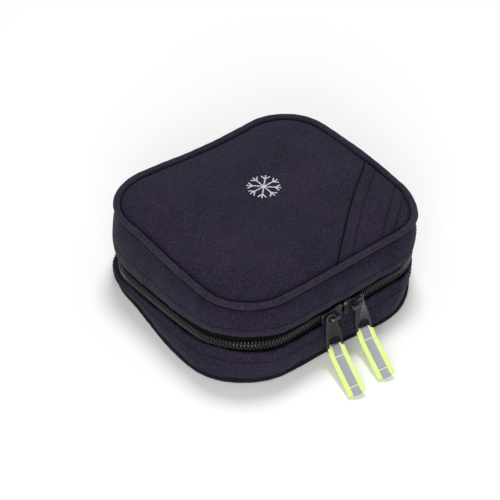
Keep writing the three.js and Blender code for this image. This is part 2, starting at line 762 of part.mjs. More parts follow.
// Webbing pull: a strip folded through the hole of the tab, its two layers sewn together
function pullTape(side) {
  const outer = loopHigh + WEB_T;
  const neck = loopLong + outer * 2.2;
  const shape = new THREE.Shape();
  shape.moveTo(TAPE_LENGTH, -WEB_T);
  shape.lineTo(TAPE_LENGTH, WEB_T);
  shape.lineTo(neck, WEB_T);
  shape.quadraticCurveTo(loopLong * 1.4, outer, loopLong * 0.3, outer);
  shape.quadraticCurveTo(-loopLong - WEB_T, outer, -loopLong - WEB_T, 0);
  shape.quadraticCurveTo(-loopLong - WEB_T, -outer, loopLong * 0.3, -outer);
  shape.quadraticCurveTo(loopLong * 1.4, -outer, neck, -WEB_T);
  const hole = new THREE.Path();
  hole.moveTo(loopLong, loopHigh * 0.8);
  hole.lineTo(loopLong * 0.4, loopHigh);
  hole.lineTo(-loopLong * 0.4, loopHigh);
  hole.lineTo(-loopLong, loopHigh * 0.5);
  hole.lineTo(-loopLong, -loopHigh * 0.5);
  hole.lineTo(-loopLong * 0.4, -loopHigh);
  hole.lineTo(loopLong * 0.4, -loopHigh);
  hole.lineTo(loopLong, -loopHigh * 0.8);
  shape.holes.push(hole);
  const strip = new THREE.ExtrudeGeometry(shape, { depth: TAPE_WIDE, bevelEnabled: false, curveSegments: 4 });
  strip.translate(0, 0, -TAPE_WIDE / 2);
  const plan = new THREE.Shape();
  plan.moveTo(-loopLong - 2 * WEB_T, -TAPE_NECK / 2);
  plan.lineTo(neck, -TAPE_NECK / 2);
  plan.quadraticCurveTo(neck + 3, -TAPE_NECK / 2, neck + 8, -TAPE_WIDE / 2);
  plan.lineTo(TAPE_LENGTH + 1, -TAPE_WIDE / 2);
  plan.lineTo(TAPE_LENGTH + 1, TAPE_WIDE / 2);
  plan.lineTo(neck + 8, TAPE_WIDE / 2);
  plan.quadraticCurveTo(neck + 3, TAPE_NECK / 2, neck, TAPE_NECK / 2);
  plan.lineTo(-loopLong - 2 * WEB_T, TAPE_NECK / 2);
  const block = new THREE.ExtrudeGeometry(plan, { depth: 4 * outer, bevelEnabled: false, curveSegments: 4 });
  block.translate(0, 0, -2 * outer);
  block.rotateX(Math.PI / 2);
  return placeOnTape(common(strip, block), side);
}

// Grey reflective strip along the middle of the webbing's upper face
function reflectiveStrip(side) {
  const from = loopLong + (loopHigh + WEB_T) * 2.2 + 1;
  const geometry = new THREE.BoxGeometry(TAPE_LENGTH - from, STRIP_T, STRIP_WIDE);
  geometry.translate((TAPE_LENGTH + from) / 2, WEB_T + CLEAR + STRIP_T / 2, 0);
  return placeOnTape(geometry, side);
}

const CLOTH = '#2b2730';
const TRIM = '#2e2d31';
const ZIP = '#1b1b1d';
const FOAM = '#8a8c90';
const FOIL = '#c9cdd1';
const METAL = '#4a4a4e';

const whole = new THREE.Group();

function add(name, geometry, color, roughness = 0.85, metalness = 0) {
  const mesh = new THREE.Mesh(geometry, new THREE.MeshStandardMaterial({ color, roughness, metalness }));
  mesh.name = name;
  whole.add(mesh);
}

add('bottom_panel', bottomPanel(), CLOTH);
add('base_piping', piping(BASE_PIPING_OUT, basePipingZ), TRIM);
add('base_side_band', sideBand(baseLine, -1), CLOTH);
add('base_wall_foam', wallFoam(baseLine, -1), FOAM);
add('base_rim_foam', rimFoam(baseLine, -1), FOAM);
add('base_floor_foam', floorFoam(), FOAM);
add('base_liner', baseLiner(), FOIL, 0.4, 0.6);
add('base_zip_tape', zipTape(-1), ZIP);
add('base_zip_chain', zipChain(-1), ZIP, 0.5);
add('hinge_leaf_lower', hingeLeaf(baseLine, -1), CLOTH);
add('pen_card', penCard(), TRIM);
add('pen_loops_left', penLoops(-1), ZIP);
add('pen_loops_right', penLoops(1), ZIP);
add('lid_top_panel', lidTopPanel(), CLOTH);
add('lid_piping', piping(0, PIPING_Z), TRIM);
add('lid_side_band', sideBand(lidLine, 1), CLOTH);
add('lid_wall_foam', wallFoam(lidLine, 1), FOAM);
add('lid_rim_foam', rimFoam(lidLine, 1), FOAM);
add('lid_top_foam', lidTopFoam(), FOAM);
add('lid_liner', lidLiner(), FOIL, 0.4, 0.6);
add('lid_zip_tape', zipTape(1), ZIP);
add('lid_zip_chain', zipChain(1), ZIP, 0.5);
add('hinge_leaf_upper', hingeLeaf(lidLine, 1), CLOTH);
add('corner_strap', cornerStrap(), CLOTH);
add('gel_pack', gelPack(), '#7fb4d8', 0.3);
add('net_panel', netPanel(), ZIP);
add('net_gusset', netGusset(), TRIM);
for (const [hand, side] of [['left', -1], ['right', 1]]) {
  add(`slider_${hand}`, slider(side), METAL, 0.4, 0.9);
  add(`pull_tab_${hand}`, pullTab(side), METAL, 0.4, 0.9);
  add(`pull_tape_${hand}`, pullTape(side), '#c8e000', 0.8);
  add(`reflective_strip_${hand}`, reflectiveStrip(side), '#a9abad', 0.4);
}

export default whole;
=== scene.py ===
# %% [markdown]
# # A zip-round cooling case for insulin pens
#
# The real case is a padded fabric box that opens like a book: a lid and a base, joined at the back by a
# fabric hinge and closed by one heavy coil zip with two sliders. The CAD frame already holds the sizes, the
# moving bodies and the joints. This lesson dresses that frame: each soft solid is replaced by a sewn piece,
# and the metal keeps its CAD shape with rounded edges. All pieces stay in the frame's own place, so nothing
# has to be fitted afterwards.

import math

import bmesh
import bpy
import numpy as np
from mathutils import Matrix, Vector


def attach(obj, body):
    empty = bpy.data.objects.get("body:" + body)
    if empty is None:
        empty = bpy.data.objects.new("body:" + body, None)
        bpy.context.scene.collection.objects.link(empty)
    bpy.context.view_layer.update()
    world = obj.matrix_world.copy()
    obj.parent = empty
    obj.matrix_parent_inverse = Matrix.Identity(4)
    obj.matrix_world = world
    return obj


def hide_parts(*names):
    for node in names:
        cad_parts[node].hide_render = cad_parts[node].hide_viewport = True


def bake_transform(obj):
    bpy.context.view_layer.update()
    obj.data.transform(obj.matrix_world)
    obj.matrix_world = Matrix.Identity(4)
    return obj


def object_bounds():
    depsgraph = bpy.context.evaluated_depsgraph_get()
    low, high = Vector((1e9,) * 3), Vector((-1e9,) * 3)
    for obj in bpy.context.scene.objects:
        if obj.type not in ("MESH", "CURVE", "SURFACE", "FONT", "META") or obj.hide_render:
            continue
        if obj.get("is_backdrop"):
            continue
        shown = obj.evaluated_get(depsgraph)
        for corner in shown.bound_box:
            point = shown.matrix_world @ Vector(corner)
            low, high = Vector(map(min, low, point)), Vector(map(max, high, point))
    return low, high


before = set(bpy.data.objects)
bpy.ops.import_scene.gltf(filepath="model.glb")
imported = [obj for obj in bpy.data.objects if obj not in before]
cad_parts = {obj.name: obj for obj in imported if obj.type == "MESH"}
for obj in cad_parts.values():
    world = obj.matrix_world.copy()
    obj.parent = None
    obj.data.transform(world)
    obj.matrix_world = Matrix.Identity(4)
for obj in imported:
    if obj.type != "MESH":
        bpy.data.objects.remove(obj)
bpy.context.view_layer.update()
scene = bpy.context.scene
scene.view_settings.view_transform = "Standard"

# %% [markdown]
# ## The camera
#
# The photographer stood in front of the left front corner and looked down at about 44 degrees with a long
# lens. A camera can be placed by eye, or by an angle pair and a distance. The angle pair is easier to
# correct: turn, tilt and distance each change one thing in the picture. The lens shift puts the case where
# it is in the frame without turning the camera.

# %% Camera
TURN, TILT, AWAY = math.radians(-38.67), math.radians(43.76), 1.3813
SENSOR_MM, LENS_MM, SHIFT_X, SHIFT_Y = 36.0, 130.08, -0.0319, 0.0484
lens = bpy.data.cameras.new("photo_camera")
lens.sensor_width, lens.lens = SENSOR_MM, LENS_MM
lens.shift_x, lens.shift_y = SHIFT_X, SHIFT_Y
camera = bpy.data.objects.new("photo_camera", lens)
level = AWAY * math.cos(TILT)
camera.location = (level * math.sin(TURN), -level * math.cos(TURN), AWAY * math.sin(TILT))
camera.rotation_euler = (math.pi / 2 - TILT, 0.0, TURN)
scene.collection.objects.link(camera)
scene.camera = camera
print("camera at", [round(v, 3) for v in camera.location])

# %% [markdown]
# ## From a grid of numbers to a mesh
#
# All pieces but the metal ones are grids of points, so one function can sew them. It joins neighbours with
# quads, closes the grid where the piece is a ring or a tube, and closes the ends with a face or a point. It
# also walks the grid and keeps the walked lengths as a UV map in metres. That is what lets a weave keep its
# real thread size on a curved band. The sign of the enclosed volume tells whether the faces look outwards.

# %% Grid to mesh
MM = 0.001


def enclosed(faces):
    """Six times the volume between faces and the origin: a sum over the triangles of each face."""
    apex = faces[:, :1]
    return (apex * np.cross(faces[:, 1:-1] - apex, faces[:, 2:] - apex)).sum()


def sewn(name, points, ring=False, tube=True, ends="flat", plan=False, crease=50, seam=None):
    """One mesh from points[row, column] in millimetres, or from many equal grids points[copy, row, column].

    A quad joins each point to its neighbours; ring joins the last row to the first, tube the last column to
    the first. Ends are open, flat (one face on the first and last row) or point (a fan to the row's middle),
    and a ring has none. The UV map is the mean length walked along rows and columns, or x and y when plan is
    set. A painted-shade array, 0 to 1 for each point, is kept as an attribute. The cloth uses it to paint
    shade into seams, creases and the undersides of hems, where shade falls.
    """
    points = np.asarray(points, float)
    points = points[None] if points.ndim == 3 else points
    copies, rows, columns = points.shape[:3]
    number = np.arange(copies * rows * columns).reshape(copies, rows, columns)
    this, after = (number, np.roll(number, -1, 1)) if ring else (number[:, :-1], number[:, 1:])
    if tube:
        quads = np.stack([this, after, np.roll(after, -1, 2), np.roll(this, -1, 2)], -1)
    else:
        quads = np.stack([this[..., :-1], after[..., :-1], after[..., 1:], this[..., 1:]], -1)
    walk = [
        np.concatenate([[0], np.cumsum(np.linalg.norm(np.roll(points, -1, a) - points, axis=3).mean(m))])
        for a, m in ((1, (0, 2)), (2, (0, 1)))
    ]
    i, j = np.meshgrid(*map(np.arange, quads.shape[1:3]), indexing="ij")
    corners = [np.stack([walk[0][i + a], walk[1][j + b]], -1) for a, b in ((0, 0), (1, 0), (1, 1), (0, 1))]
    uv = np.broadcast_to(np.stack(corners, 2), quads.shape + (2,)).reshape(-1, 4, 2)
    quads = quads.reshape(-1, 4)
    flat = points.reshape(-1, 3)
    rims = np.concatenate([number[:, 0], number[:, -1, ::-1]])
    caps = np.zeros((0, 3), int)
    if ends == "flat" and not ring:
        caps = rims
    elif ends == "point":
        middle = np.broadcast_to(len(flat) + np.arange(len(rims))[:, None], rims.shape)
        flat = np.concatenate([flat, flat[rims].mean(1)])
        caps = np.stack([rims, np.roll(rims, -1, 1), middle], -1).reshape(-1, 3)
    sides, lids = flat[quads], flat[caps]
    uv = sides[..., :2] if plan else uv
    cap_uv = lids[..., :2] if plan else np.stack([lids[..., 0] + lids[..., 1], lids[..., 2]], -1)
    if enclosed(sides) + enclosed(lids) < 0:
        quads, uv, caps, cap_uv = quads[:, ::-1], uv[:, ::-1], caps[:, ::-1], cap_uv[:, ::-1]
    mesh = bpy.data.meshes.new(name)
    mesh.from_pydata((flat * MM).tolist(), [], quads.tolist() + caps.tolist())
    layer = mesh.uv_layers.new(name="walked")
    layer.data.foreach_set("uv", np.concatenate([uv.reshape(-1), cap_uv.reshape(-1)]) * MM)
    # Painted shade: the array is stored per point, and the cloth darkens with it in seams, creases and under
    # hems.
    if seam is not None:
        depth = np.zeros(len(flat))
        depth[:points.size // 3] = np.broadcast_to(seam, points.shape[:3]).reshape(-1)
        mesh.attributes.new("seam", "FLOAT", "POINT").data.foreach_set("value", depth)
    mesh.shade_smooth()
    mesh.set_sharp_from_angle(angle=math.radians(crease))
    piece = bpy.data.objects.new(name, mesh)
    scene.collection.objects.link(piece)
    return piece


# %% [markdown]
# ## Dressing a piece
#
# A mesh is not yet a piece of the case. It needs a finish and the body that carries it when a joint moves,
# and the CAD solids that it stands for are hidden. One function does this for each piece, though a piece that
# crosses a joint gets no body, and another sews and dresses in one go.

# %% Dressing a piece
def dress(piece, body, slot, finish, *nodes, bend=None):
    """Gives a piece its finish, the body that it rides on, its material slot and the CAD nodes it stands for.

    A piece that crosses a joint has bend: the body it leaves and two points in metres, which are not used.
    Such a piece rides on no body; its placing is only baked into its mesh.
    """
    piece.data.materials.append(finish)
    if bend:
        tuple(bend[1])
        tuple(bend[2])
        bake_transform(piece)
    else:
        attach(piece, body)
    if nodes:
        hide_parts(*nodes)
    print(f"{piece.name}: {len(piece.data.polygons)} faces on {body}")
    return piece


def add(name, points, body, slot, finish, *nodes, bend=None, **shape):
    """Sews a grid of points and dresses it; shape holds what sewn takes besides."""
    return dress(sewn(name, points, **shape), body, slot, finish, *nodes, bend=bend)


# %% [markdown]
# ## Recipes of nodes
#
# Materials are built from nodes, and the same three lines come back for each node: make it, set its
# sockets, link it. A recipe holds a node tree and does the three at once, so that the finishes below stay
# readable. A socket given to it is linked, a number is set.

# %% Recipes of nodes
class Recipe:
    """A node tree, with a short way to add each kind of node to it."""

    def __init__(self, tree):
        self.tree = tree

    def fill(self, made, sockets):
        """Links or sets the sockets of a node; sockets is a dict of socket name or number to value."""
        for key, value in dict(sockets).items():
            if isinstance(value, bpy.types.NodeSocket):
                self.tree.links.new(value, made.inputs[key])
            else:
                made.inputs[key].default_value = value
        return made

    def node(self, kind, sockets=(), **settings):
        """Adds a node with its settings and fills its sockets."""
        made = self.tree.nodes.new(kind)
        for key, value in settings.items():
            setattr(made, key, value)
        return self.fill(made, sockets)

    def calc(self, operation, *values):
        """The result of a Math node with the given values or sockets."""
        return self.node("ShaderNodeMath", dict(enumerate(values)), operation=operation).outputs[0]

    def mixed(self, share, first, second):
        """A colour between two colours: the first where share is 0, the second where it is 1."""
        return self.node("ShaderNodeMix", {0: share, 6: first, 7: second}, data_type="RGBA").outputs[2]

    def spread(self, value, low, high, to_low=0.0, to_high=1.0):
        """A value stretched from one range to another and held inside it."""
        limits = {"From Min": low, "From Max": high, "To Min": to_low, "To Max": to_high}
        return self.node("ShaderNodeMapRange", {"Value": value, **limits}).outputs[0]

    def noise(self, place, scale, detail, rough=0.5):
        """Smooth random values; scale is the number of blotches to a metre."""
        sockets = {"Vector": place, "Scale": scale, "Detail": detail, "Roughness": rough}
        return self.node("ShaderNodeTexNoise", sockets).outputs[0]

    def bump(self, height, strength, distance):
        """A normal from a height, where a height of 1 stands for the given distance in metres."""
        sockets = {"Height": height, "Strength": strength, "Distance": distance}
        return self.node("ShaderNodeBump", sockets).outputs[0]

    def use(self, recipe, **sockets):
        """The outputs of a group that is placed here with its own values."""
        return self.node("ShaderNodeGroup", sockets, node_tree=recipe.tree).outputs


# %% [markdown]
# ## Groups and finishes
#
# An effect that several materials share is a node group with named sockets, built once. A finish is a
# recipe for a whole material: it starts with the Principled shader, the piece's UV map and its Object
# coordinates.

# %% Groups and finishes
def group(name, inputs, outputs):
    """An empty node group with named sockets: inputs as (name, kind, value), outputs as (name, kind)."""
    tree = bpy.data.node_groups.new(name, "ShaderNodeTree")
    for label, kind, value in inputs:
        socket = tree.interface.new_socket(name=label, in_out="INPUT", socket_type="NodeSocket" + kind)
        socket.default_value = value
    for label, kind in outputs:
        tree.interface.new_socket(name=label, in_out="OUTPUT", socket_type="NodeSocket" + kind)
    return Recipe(tree), tree.nodes.new("NodeGroupInput").outputs, tree.nodes.new("NodeGroupOutput")


class Finish(Recipe):
    """A new material as a recipe, with its shader, its UV walk and its Object coordinates."""

    def __init__(self, name):
        self.material = bpy.data.materials.new(name)
        self.material.use_nodes = True
        super().__init__(self.material.node_tree)
        self.shader = self.tree.nodes["Principled BSDF"]
        self.walked = self.node("ShaderNodeUVMap", uv_map="walked").outputs[0]
        self.place = self.node("ShaderNodeTexCoord").outputs["Object"]

    def wire(self, **sockets):
        """Links or sets the shader's sockets; an underscore in a name stands for a space."""
        self.fill(self.shader, {key.replace("_", " "): value for key, value in sockets.items()})


def colour(red, green, blue):
    """A screen colour of 0 to 255 as the linear colour that shaders use."""
    screen = np.array([red, green, blue]) / 255
    linear = np.where(screen <= 0.04045, screen / 12.92, ((screen + 0.055) / 1.055) ** 2.4)
    return (*map(float, linear), 1.0)


# %% [markdown]
# ## Woven threads
#
# All the cloth on the case is woven: a warp thread lies over some weft threads and under the others. A
# photo texture could show that, but it would repeat and would fix the size. Here the weave is worked out
# from the UV map, which is in metres, so one number sets the thread. With a slant of 0 the threads cross in
# stripes as in a ribbed tape, and with a slant of 1 the crossings step sideways and make the diagonal of a
# twill.

# %% Woven threads group
woven_threads, given, result = group(
    "woven_threads",
    [("Place", "Vector", (0, 0, 0)), ("Thread", "Float", 0.0005), ("Slant", "Float", 1.0)],
    [("Height", "Float"), ("Over", "Float")],
)
calc = woven_threads.calc
split = woven_threads.node("ShaderNodeSeparateXYZ", {0: given["Place"]}).outputs
warp, weft = (calc("DIVIDE", split[axis], given["Thread"]) for axis in "XY")
swings = [calc("SINE", calc("MULTIPLY", yarn, math.pi)) for yarn in (warp, weft)]
warp_round, weft_round = (calc("ABSOLUTE", swing) for swing in swings)
stepped = calc("MULTIPLY_ADD", calc("FLOOR", weft), given["Slant"], calc("FLOOR", warp))
over = calc("LESS_THAN", calc("FRACT", calc("MULTIPLY", stepped, 0.25)), 0.499)
upper = {0: over, 2: weft_round, 3: warp_round}
height = woven_threads.node("ShaderNodeMix", upper, data_type="FLOAT").outputs[0]
woven_threads.fill(result, {"Height": height, "Over": over})
print("group", woven_threads.tree.name)

# %% [markdown]
# ## Uneven tone and lint
#
# No cloth is one colour all over: dye and light vary slowly across it, single yarns are lighter, and lint
# settles in it. Noise textures give all of these. They read Object coordinates, so neighbouring pieces
# don't repeat each other.

# %% Uneven tone group
uneven_tone, given, result = group(
    "uneven_tone",
    [
        ("Place", "Vector", (0, 0, 0)),
        ("Colour", "Color", (0.1, 0.1, 0.1, 1)),
        ("Pale", "Color", (0.2, 0.2, 0.2, 1)),
        ("Patch", "Float", 0.02),
        ("Yarn", "Float", 0.001),
        ("Amount", "Float", 0.5),
    ],
    [("Colour", "Color"), ("Mask", "Float")],
)
calc = uneven_tone.calc
slow = uneven_tone.noise(given["Place"], calc("DIVIDE", 1.0, given["Patch"]), 3.0, 0.55)
fine = uneven_tone.noise(given["Place"], calc("DIVIDE", 1.0, given["Yarn"]), 2.0, 0.7)
both = calc("MULTIPLY_ADD", fine, 0.8, calc("MULTIPLY", slow, 0.2))
share = calc("MULTIPLY", uneven_tone.spread(both, 0.36, 0.64), given["Amount"])
dyed = uneven_tone.mixed(share, given["Colour"], given["Pale"])
uneven_tone.fill(result, {"Colour": dyed, "Mask": share})
print("group", uneven_tone.tree.name)

# %% [markdown]
# ## Rubbed edges
#
# Plated metal loses its dark coat where it rubs. The Geometry node's Pointiness is high on convex edges,
# and a noise breaks the line up so that it looks rubbed and not drawn. The group puts out the mask and a
# noise of fine drawn lines; each metal decides what to do with them.

# %% Rubbed edges group
SCRATCH_SCALE, SCRATCH_DRAWN = 900.0, (1.0, 9.0, 1.0)
rubbed_edges, given, result = group(
    "rubbed_edges",
    [("Place", "Vector", (0, 0, 0)), ("Pointiness", "Float", 0.5), ("Grain", "Float", 0.002)],
    [("Mask", "Float"), ("Scratch", "Float")],
)
grain = rubbed_edges.noise(given["Place"], rubbed_edges.calc("DIVIDE", 1.0, given["Grain"]), 4.0, 0.65)
edge = rubbed_edges.spread(given["Pointiness"], 0.51, 0.6)
mask = rubbed_edges.calc("MULTIPLY", edge, rubbed_edges.spread(grain, 0.35, 0.65))
drawn = rubbed_edges.node("ShaderNodeMapping", {0: given["Place"], "Scale": SCRATCH_DRAWN}).outputs[0]
rubbed_edges.fill(result, {"Mask": mask, "Scratch": rubbed_edges.noise(drawn, SCRATCH_SCALE, 2.0)})
print("group", rubbed_edges.tree.name)

# %% [markdown]
# ## Crinkles
#
# Foil and plastic film don't stretch, so they crinkle into flat facets with sharp folds between them. The
# second nearest minus the nearest distance of a Voronoi texture has just that shape: it grows evenly from
# each border between cells. A soft noise on top keeps the facets from looking equal.

# %% Crinkles group
crinkles, given, result = group(
    "crinkles", [("Place", "Vector", (0, 0, 0)), ("Facet", "Float", 0.01)], [("Height", "Float")]
)
scale = crinkles.calc("DIVIDE", 1.0, given["Facet"])
cells = {"Vector": given["Place"], "Scale": scale, "Randomness": 1.0}
second, first = (crinkles.node("ShaderNodeTexVoronoi", cells, feature=kind).outputs for kind in ("F2", "F1"))
facets = crinkles.calc("SUBTRACT", second["Distance"], first["Distance"])
bent = crinkles.noise(given["Place"], scale, 2.0)
crinkles.fill(result, {"Height": crinkles.calc("ADD", facets, bent)})
print("group", crinkles.tree.name)

# %% [markdown]
# ## Cloth finishes
#
# One recipe serves all the cloth. The gaps between threads are darker than the threads, the weft is darker
# than the warp, two close dyes mix unevenly, and the weave stands up as bump. Where a piece carries an
# attribute of painted shade, the cloth is painted dark in its seams, creases and under its hems, where shade
# falls. A little sheen gives the pale bloom that short fibres have at a grazing angle. Its amount is the same
# all over, so it is set on the shader's own socket.

# %% Cloth recipe
# SEAM_LIGHT is the share of light left where the painted shade of a seam is full.
DYE_PATCH, DYE_YARN, SEAM_LIGHT = 0.03, 0.0012, 0.02


def cloth(
    name, dark, pale, thread, slant=1.0, amount=0.6, bump=0.35,
    sheen=0.05, rough=0.8, weft=0.7, shade=0.3, painted_glow=0.0,
):
    """A woven finish from a dark and a pale dye, with the thread's width in metres.

    Weft is the light of the weft as a share of the warp's, and shade the light left between threads. Glow is
    painted light for a fluorescent dye: a fixed emission in the dye's colour, whatever light falls on it.
    """
    dark, pale = colour(*dark), colour(*pale)
    look = Finish(name)
    weave = look.use(woven_threads, Place=look.walked, Thread=thread, Slant=slant)
    dyes = {"Colour": dark, "Pale": pale, "Patch": DYE_PATCH, "Yarn": DYE_YARN, "Amount": amount}
    tone = look.use(uneven_tone, Place=look.place, **dyes)
    gap = (*(shade * v for v in dark[:3]), 1.0)
    # Painted shade: the attribute darkens the cloth towards the gap colour in seams, creases and under hems.
    seam = look.node("ShaderNodeAttribute", attribute_name="seam").outputs["Fac"]
    crossed = look.spread(weave["Over"], 0.0, 1.0, weft, 1.0)
    yarns = look.calc("MULTIPLY", look.spread(weave["Height"], 0.0, 0.7), crossed)
    light = look.calc("MULTIPLY", yarns, look.spread(seam, 0.0, 1.0, 1.0, SEAM_LIGHT))
    look.wire(
        Base_Color=look.mixed(light, gap, tone["Colour"]),
        Normal=look.bump(weave["Height"], bump, thread * 0.6),
        Roughness=look.spread(tone["Mask"], 0.0, 1.0, rough, rough - 0.15),
        Specular_IOR_Level=0.07,
        Sheen_Weight=sheen,
        Sheen_Roughness=0.45,
        Emission_Color=tone["Colour"],
        Emission_Strength=painted_glow,
    )
    return look.material


# %% Cloth finishes
wall = {"slant": -1.0, "amount": 1.0, "rough": 0.9}
# The bright webbing's settings include painted light: a glow that makes the dye brighter than its lamps do.
bright = {"sheen": 0.0, "weft": 0.98, "shade": 0.8, "painted_glow": 0.07}
case_cloth = cloth("case_cloth", (28, 24, 39), (66, 57, 81), 0.00057, weft=0.46, **wall)
# The two piping cloths are the case cloth painted lighter for the lid, as light on a raised cord, and darker
# for the base, as shade where it curls under.
lit_piping_cloth = cloth("lit_piping_cloth", (37, 31, 47), (73, 65, 87), 0.0005, weft=0.5, **wall)
shaded_piping_cloth = cloth("shaded_piping_cloth", (24, 21, 29), (48, 43, 55), 0.0005, rough=0.9)
tape_weave = cloth("tape_weave", (5, 5, 6), (14, 13, 15), 0.0006, slant=0.0, bump=0.6, sheen=0.0)
binding_cloth = cloth("binding_cloth", (30, 29, 34), (50, 48, 55), 0.0007, slant=2.0)
card_cloth = cloth("card_cloth", (52, 52, 58), (82, 82, 90), 0.0008, slant=2.0)
elastic_rib = cloth("elastic_rib", (26, 26, 30), (58, 58, 64), 0.0012, slant=0.0, bump=0.8)
ribbon = {"slant": 2.0, "amount": 0.5, "bump": 0.4, "rough": 0.7}
webbing_weave = cloth("webbing_weave", (226, 248, 142), (242, 254, 188), 0.0004, **ribbon, **bright)
seam_thread = cloth("seam_thread", (13, 11, 17), (32, 29, 38), 0.0002, bump=0.6)
pull_thread = cloth("pull_thread", (228, 249, 150), (244, 255, 196), 0.0002, bump=0.5, **bright)
net_yarn = cloth("net_yarn", (28, 28, 32), (56, 56, 62), 0.0004, bump=0.6)
print("cloth finishes:", [finish.name for finish in bpy.data.materials if not finish.users])

# %% [markdown]
# ## Metal, nylon, foil, film and print
#
# The other finishes differ more in gloss than in colour. The sliders are plated nearly black and rubbed at
# the edges. The coil is smooth nylon. The lining is thin foil, the gel pack is clear film over a blue gel,
# and the snowflake is a thick white ink that keeps the weave under it.

# %% Other finishes
def plated(name, coat, bare, rough):
    """Dark plated metal: a coat rubbed to bare metal on convex edges, with fine drawn lines in its gloss."""
    look = Finish(name)
    pointed = look.node("ShaderNodeNewGeometry").outputs["Pointiness"]
    worn = look.use(rubbed_edges, Place=look.place, Grain=0.0015, Pointiness=pointed)
    look.wire(
        Base_Color=look.mixed(worn["Mask"], colour(*coat), colour(*bare)),
        Normal=look.bump(worn["Scratch"], 0.08, 0.0002),
        Roughness=look.spread(worn["Scratch"], 0.3, 0.7, rough - 0.07, rough + 0.1),
        Metallic=0.85,
    )
    return look.material


def smooth_nylon(name, dark, pale, rough):
    """Moulded or drawn nylon: nearly even colour, faint streaks in colour and gloss."""
    look = Finish(name)
    dyes = {"Colour": colour(*dark), "Pale": colour(*pale), "Patch": 0.01, "Yarn": 0.0006, "Amount": 0.6}
    tone = look.use(uneven_tone, Place=look.place, **dyes)
    look.wire(
        Base_Color=tone["Colour"],
        Normal=look.bump(tone["Mask"], 0.1, 0.0001),
        Roughness=look.spread(tone["Mask"], 0.0, 0.6, rough, rough + 0.15),
        Specular_IOR_Level=0.5,
    )
    return look.material


def crinkled(name, dark, pale, metal, rough, facet, bump, coat):
    """Foil or film: crinkled facets as bump, a slightly uneven colour, and a clear coat on a film."""
    look = Finish(name)
    dyes = {"Colour": colour(*dark), "Pale": colour(*pale), "Amount": 0.8}
    tone = look.use(uneven_tone, Place=look.place, Patch=facet * 2, Yarn=facet * 0.3, **dyes)
    fold = look.use(crinkles, Place=look.place, Facet=facet)
    look.wire(
        Base_Color=tone["Colour"],
        Normal=look.bump(fold["Height"], bump, facet * 0.12),
        Roughness=look.spread(tone["Mask"], 0.0, 0.8, rough, rough + 0.12),
        Metallic=metal,
        Coat_Weight=coat,
    )
    return look.material


dark_metal = plated("dark_metal", (50, 48, 54), (140, 138, 140), 0.34)
zip_nylon = smooth_nylon("zip_nylon", (7, 7, 8), (20, 19, 22), 0.15)
lining_foil = crinkled("lining_foil", (176, 178, 184), (214, 216, 220), 0.85, 0.3, 0.014, 0.5, 0.0)
gel_film = crinkled("gel_film", (38, 110, 180), (90, 160, 214), 0.0, 0.22, 0.02, 0.35, 0.4)
reflective_tape = crinkled("reflective_tape", (134, 141, 147), (160, 167, 172), 0.1, 0.45, 0.0012, 0.4, 0.0)
print_white = cloth("print_white", (222, 218, 228), (246, 243, 250), 0.0006, amount=0.5, bump=0.2, sheen=0.0)
others = (dark_metal, zip_nylon, lining_foil, gel_film, reflective_tape, print_white)
print("other finishes:", [finish.name for finish in others])

# %% [markdown]
# ## The plan of the case
#
# Seen from above the case is a rectangle with round corners, and nearly every piece follows that line:
# piping, bands, zip and rims. One function walks it. It takes the length walked from the back left corner
# and the distance outside the line, and adds a turning radius to a walk round a smaller rectangle. Carrying
# a profile of distances and heights along this walk then gives a band, a rope or a bowl.

# %% Plan
FACING = np.radians([90, 180, 180, 270, 270, 360, 360, 450, 450])


def unit(angle):
    """A step of length 1 in the direction of an angle: its cosine and its sine."""
    return np.stack([np.cos(angle), np.sin(angle)], -1)


def rounded_plan(half_x, half_y, corner):
    """A function of walk and distance outside a rectangle with round corners, and the walks where it changes.

    The corner radius turns through the facing angle while its centre walks round a smaller rectangle.
    """
    side, front, bend = 2 * (half_y - corner), 2 * (half_x - corner), corner * math.pi / 2
    knots = np.cumsum([0, bend, side, bend, front, bend, side, bend, front])
    box_x = (half_x - corner) * np.array([-1, -1, -1, -1, 1, 1, 1, 1, -1])
    box_y = (half_y - corner) * np.array([1, 1, -1, -1, -1, -1, 1, 1, 1])

    def place(walk, out):
        turn = np.interp(walk, knots, FACING)
        x = np.interp(walk, knots, box_x) + (corner + out) * np.cos(turn)
        y = np.interp(walk, knots, box_y) + (corner + out) * np.sin(turn)
        return np.stack(np.broadcast_arrays(x, y), -1)

    return place, knots


HALF_X, HALF_Y, CORNER = 90.0, 84.0, 40.0
case_plan, KNOTS = rounded_plan(HALF_X, HALF_Y, CORNER)
OPEN, ROUND = KNOTS[7:]
once_round = np.linspace(0, ROUND, 400, endpoint=False)
zip_walk = np.linspace(0, OPEN, 560)
print(f"once round {ROUND:.0f} mm, along the zip {OPEN:.0f} mm")

# %% [markdown]
# ## Waves, bells and slopes
#
# Soft things have few straight lines, so the same few curves come back all over the case: a wave that meets
# itself after one round, a bell for something that fades on both sides, and a slope without corners. Each
# has a name here. Three more work on a plan, the points as seen from above.

# %% Curves
def wave(walk, times, shift=0.0):
    """A sine that runs a whole number of times round the case, so that it meets itself."""
    return np.sin(2 * math.pi * times * walk / ROUND + shift)


def smooth(t):
    """From 0 to 1 with no corner at either end: three squares less two cubes."""
    t = np.clip(t, 0, 1)
    return t * t * (3 - 2 * t)


def bell(v, middle, wide):
    """1 at the middle and less on both sides: e to the power of minus the squared distance in widths."""
    return np.exp(-(((v - middle) / wide) ** 2))


def spot(x, y, middle, wide):
    """A bell over the plan: 1 at a point, less with the distance from it."""
    return np.exp(-((x - middle[0]) ** 2 + (y - middle[1]) ** 2) / (2 * wide**2))


def hump(v, middle, half):
    """1 at the middle and nothing from half on: the square of a cosine."""
    return np.cos(np.clip((v - middle) / half, -1, 1) * math.pi / 2) ** 2


def xy(plan):
    """The x and the y of points, as two arrays."""
    return plan[..., 0], plan[..., 1]


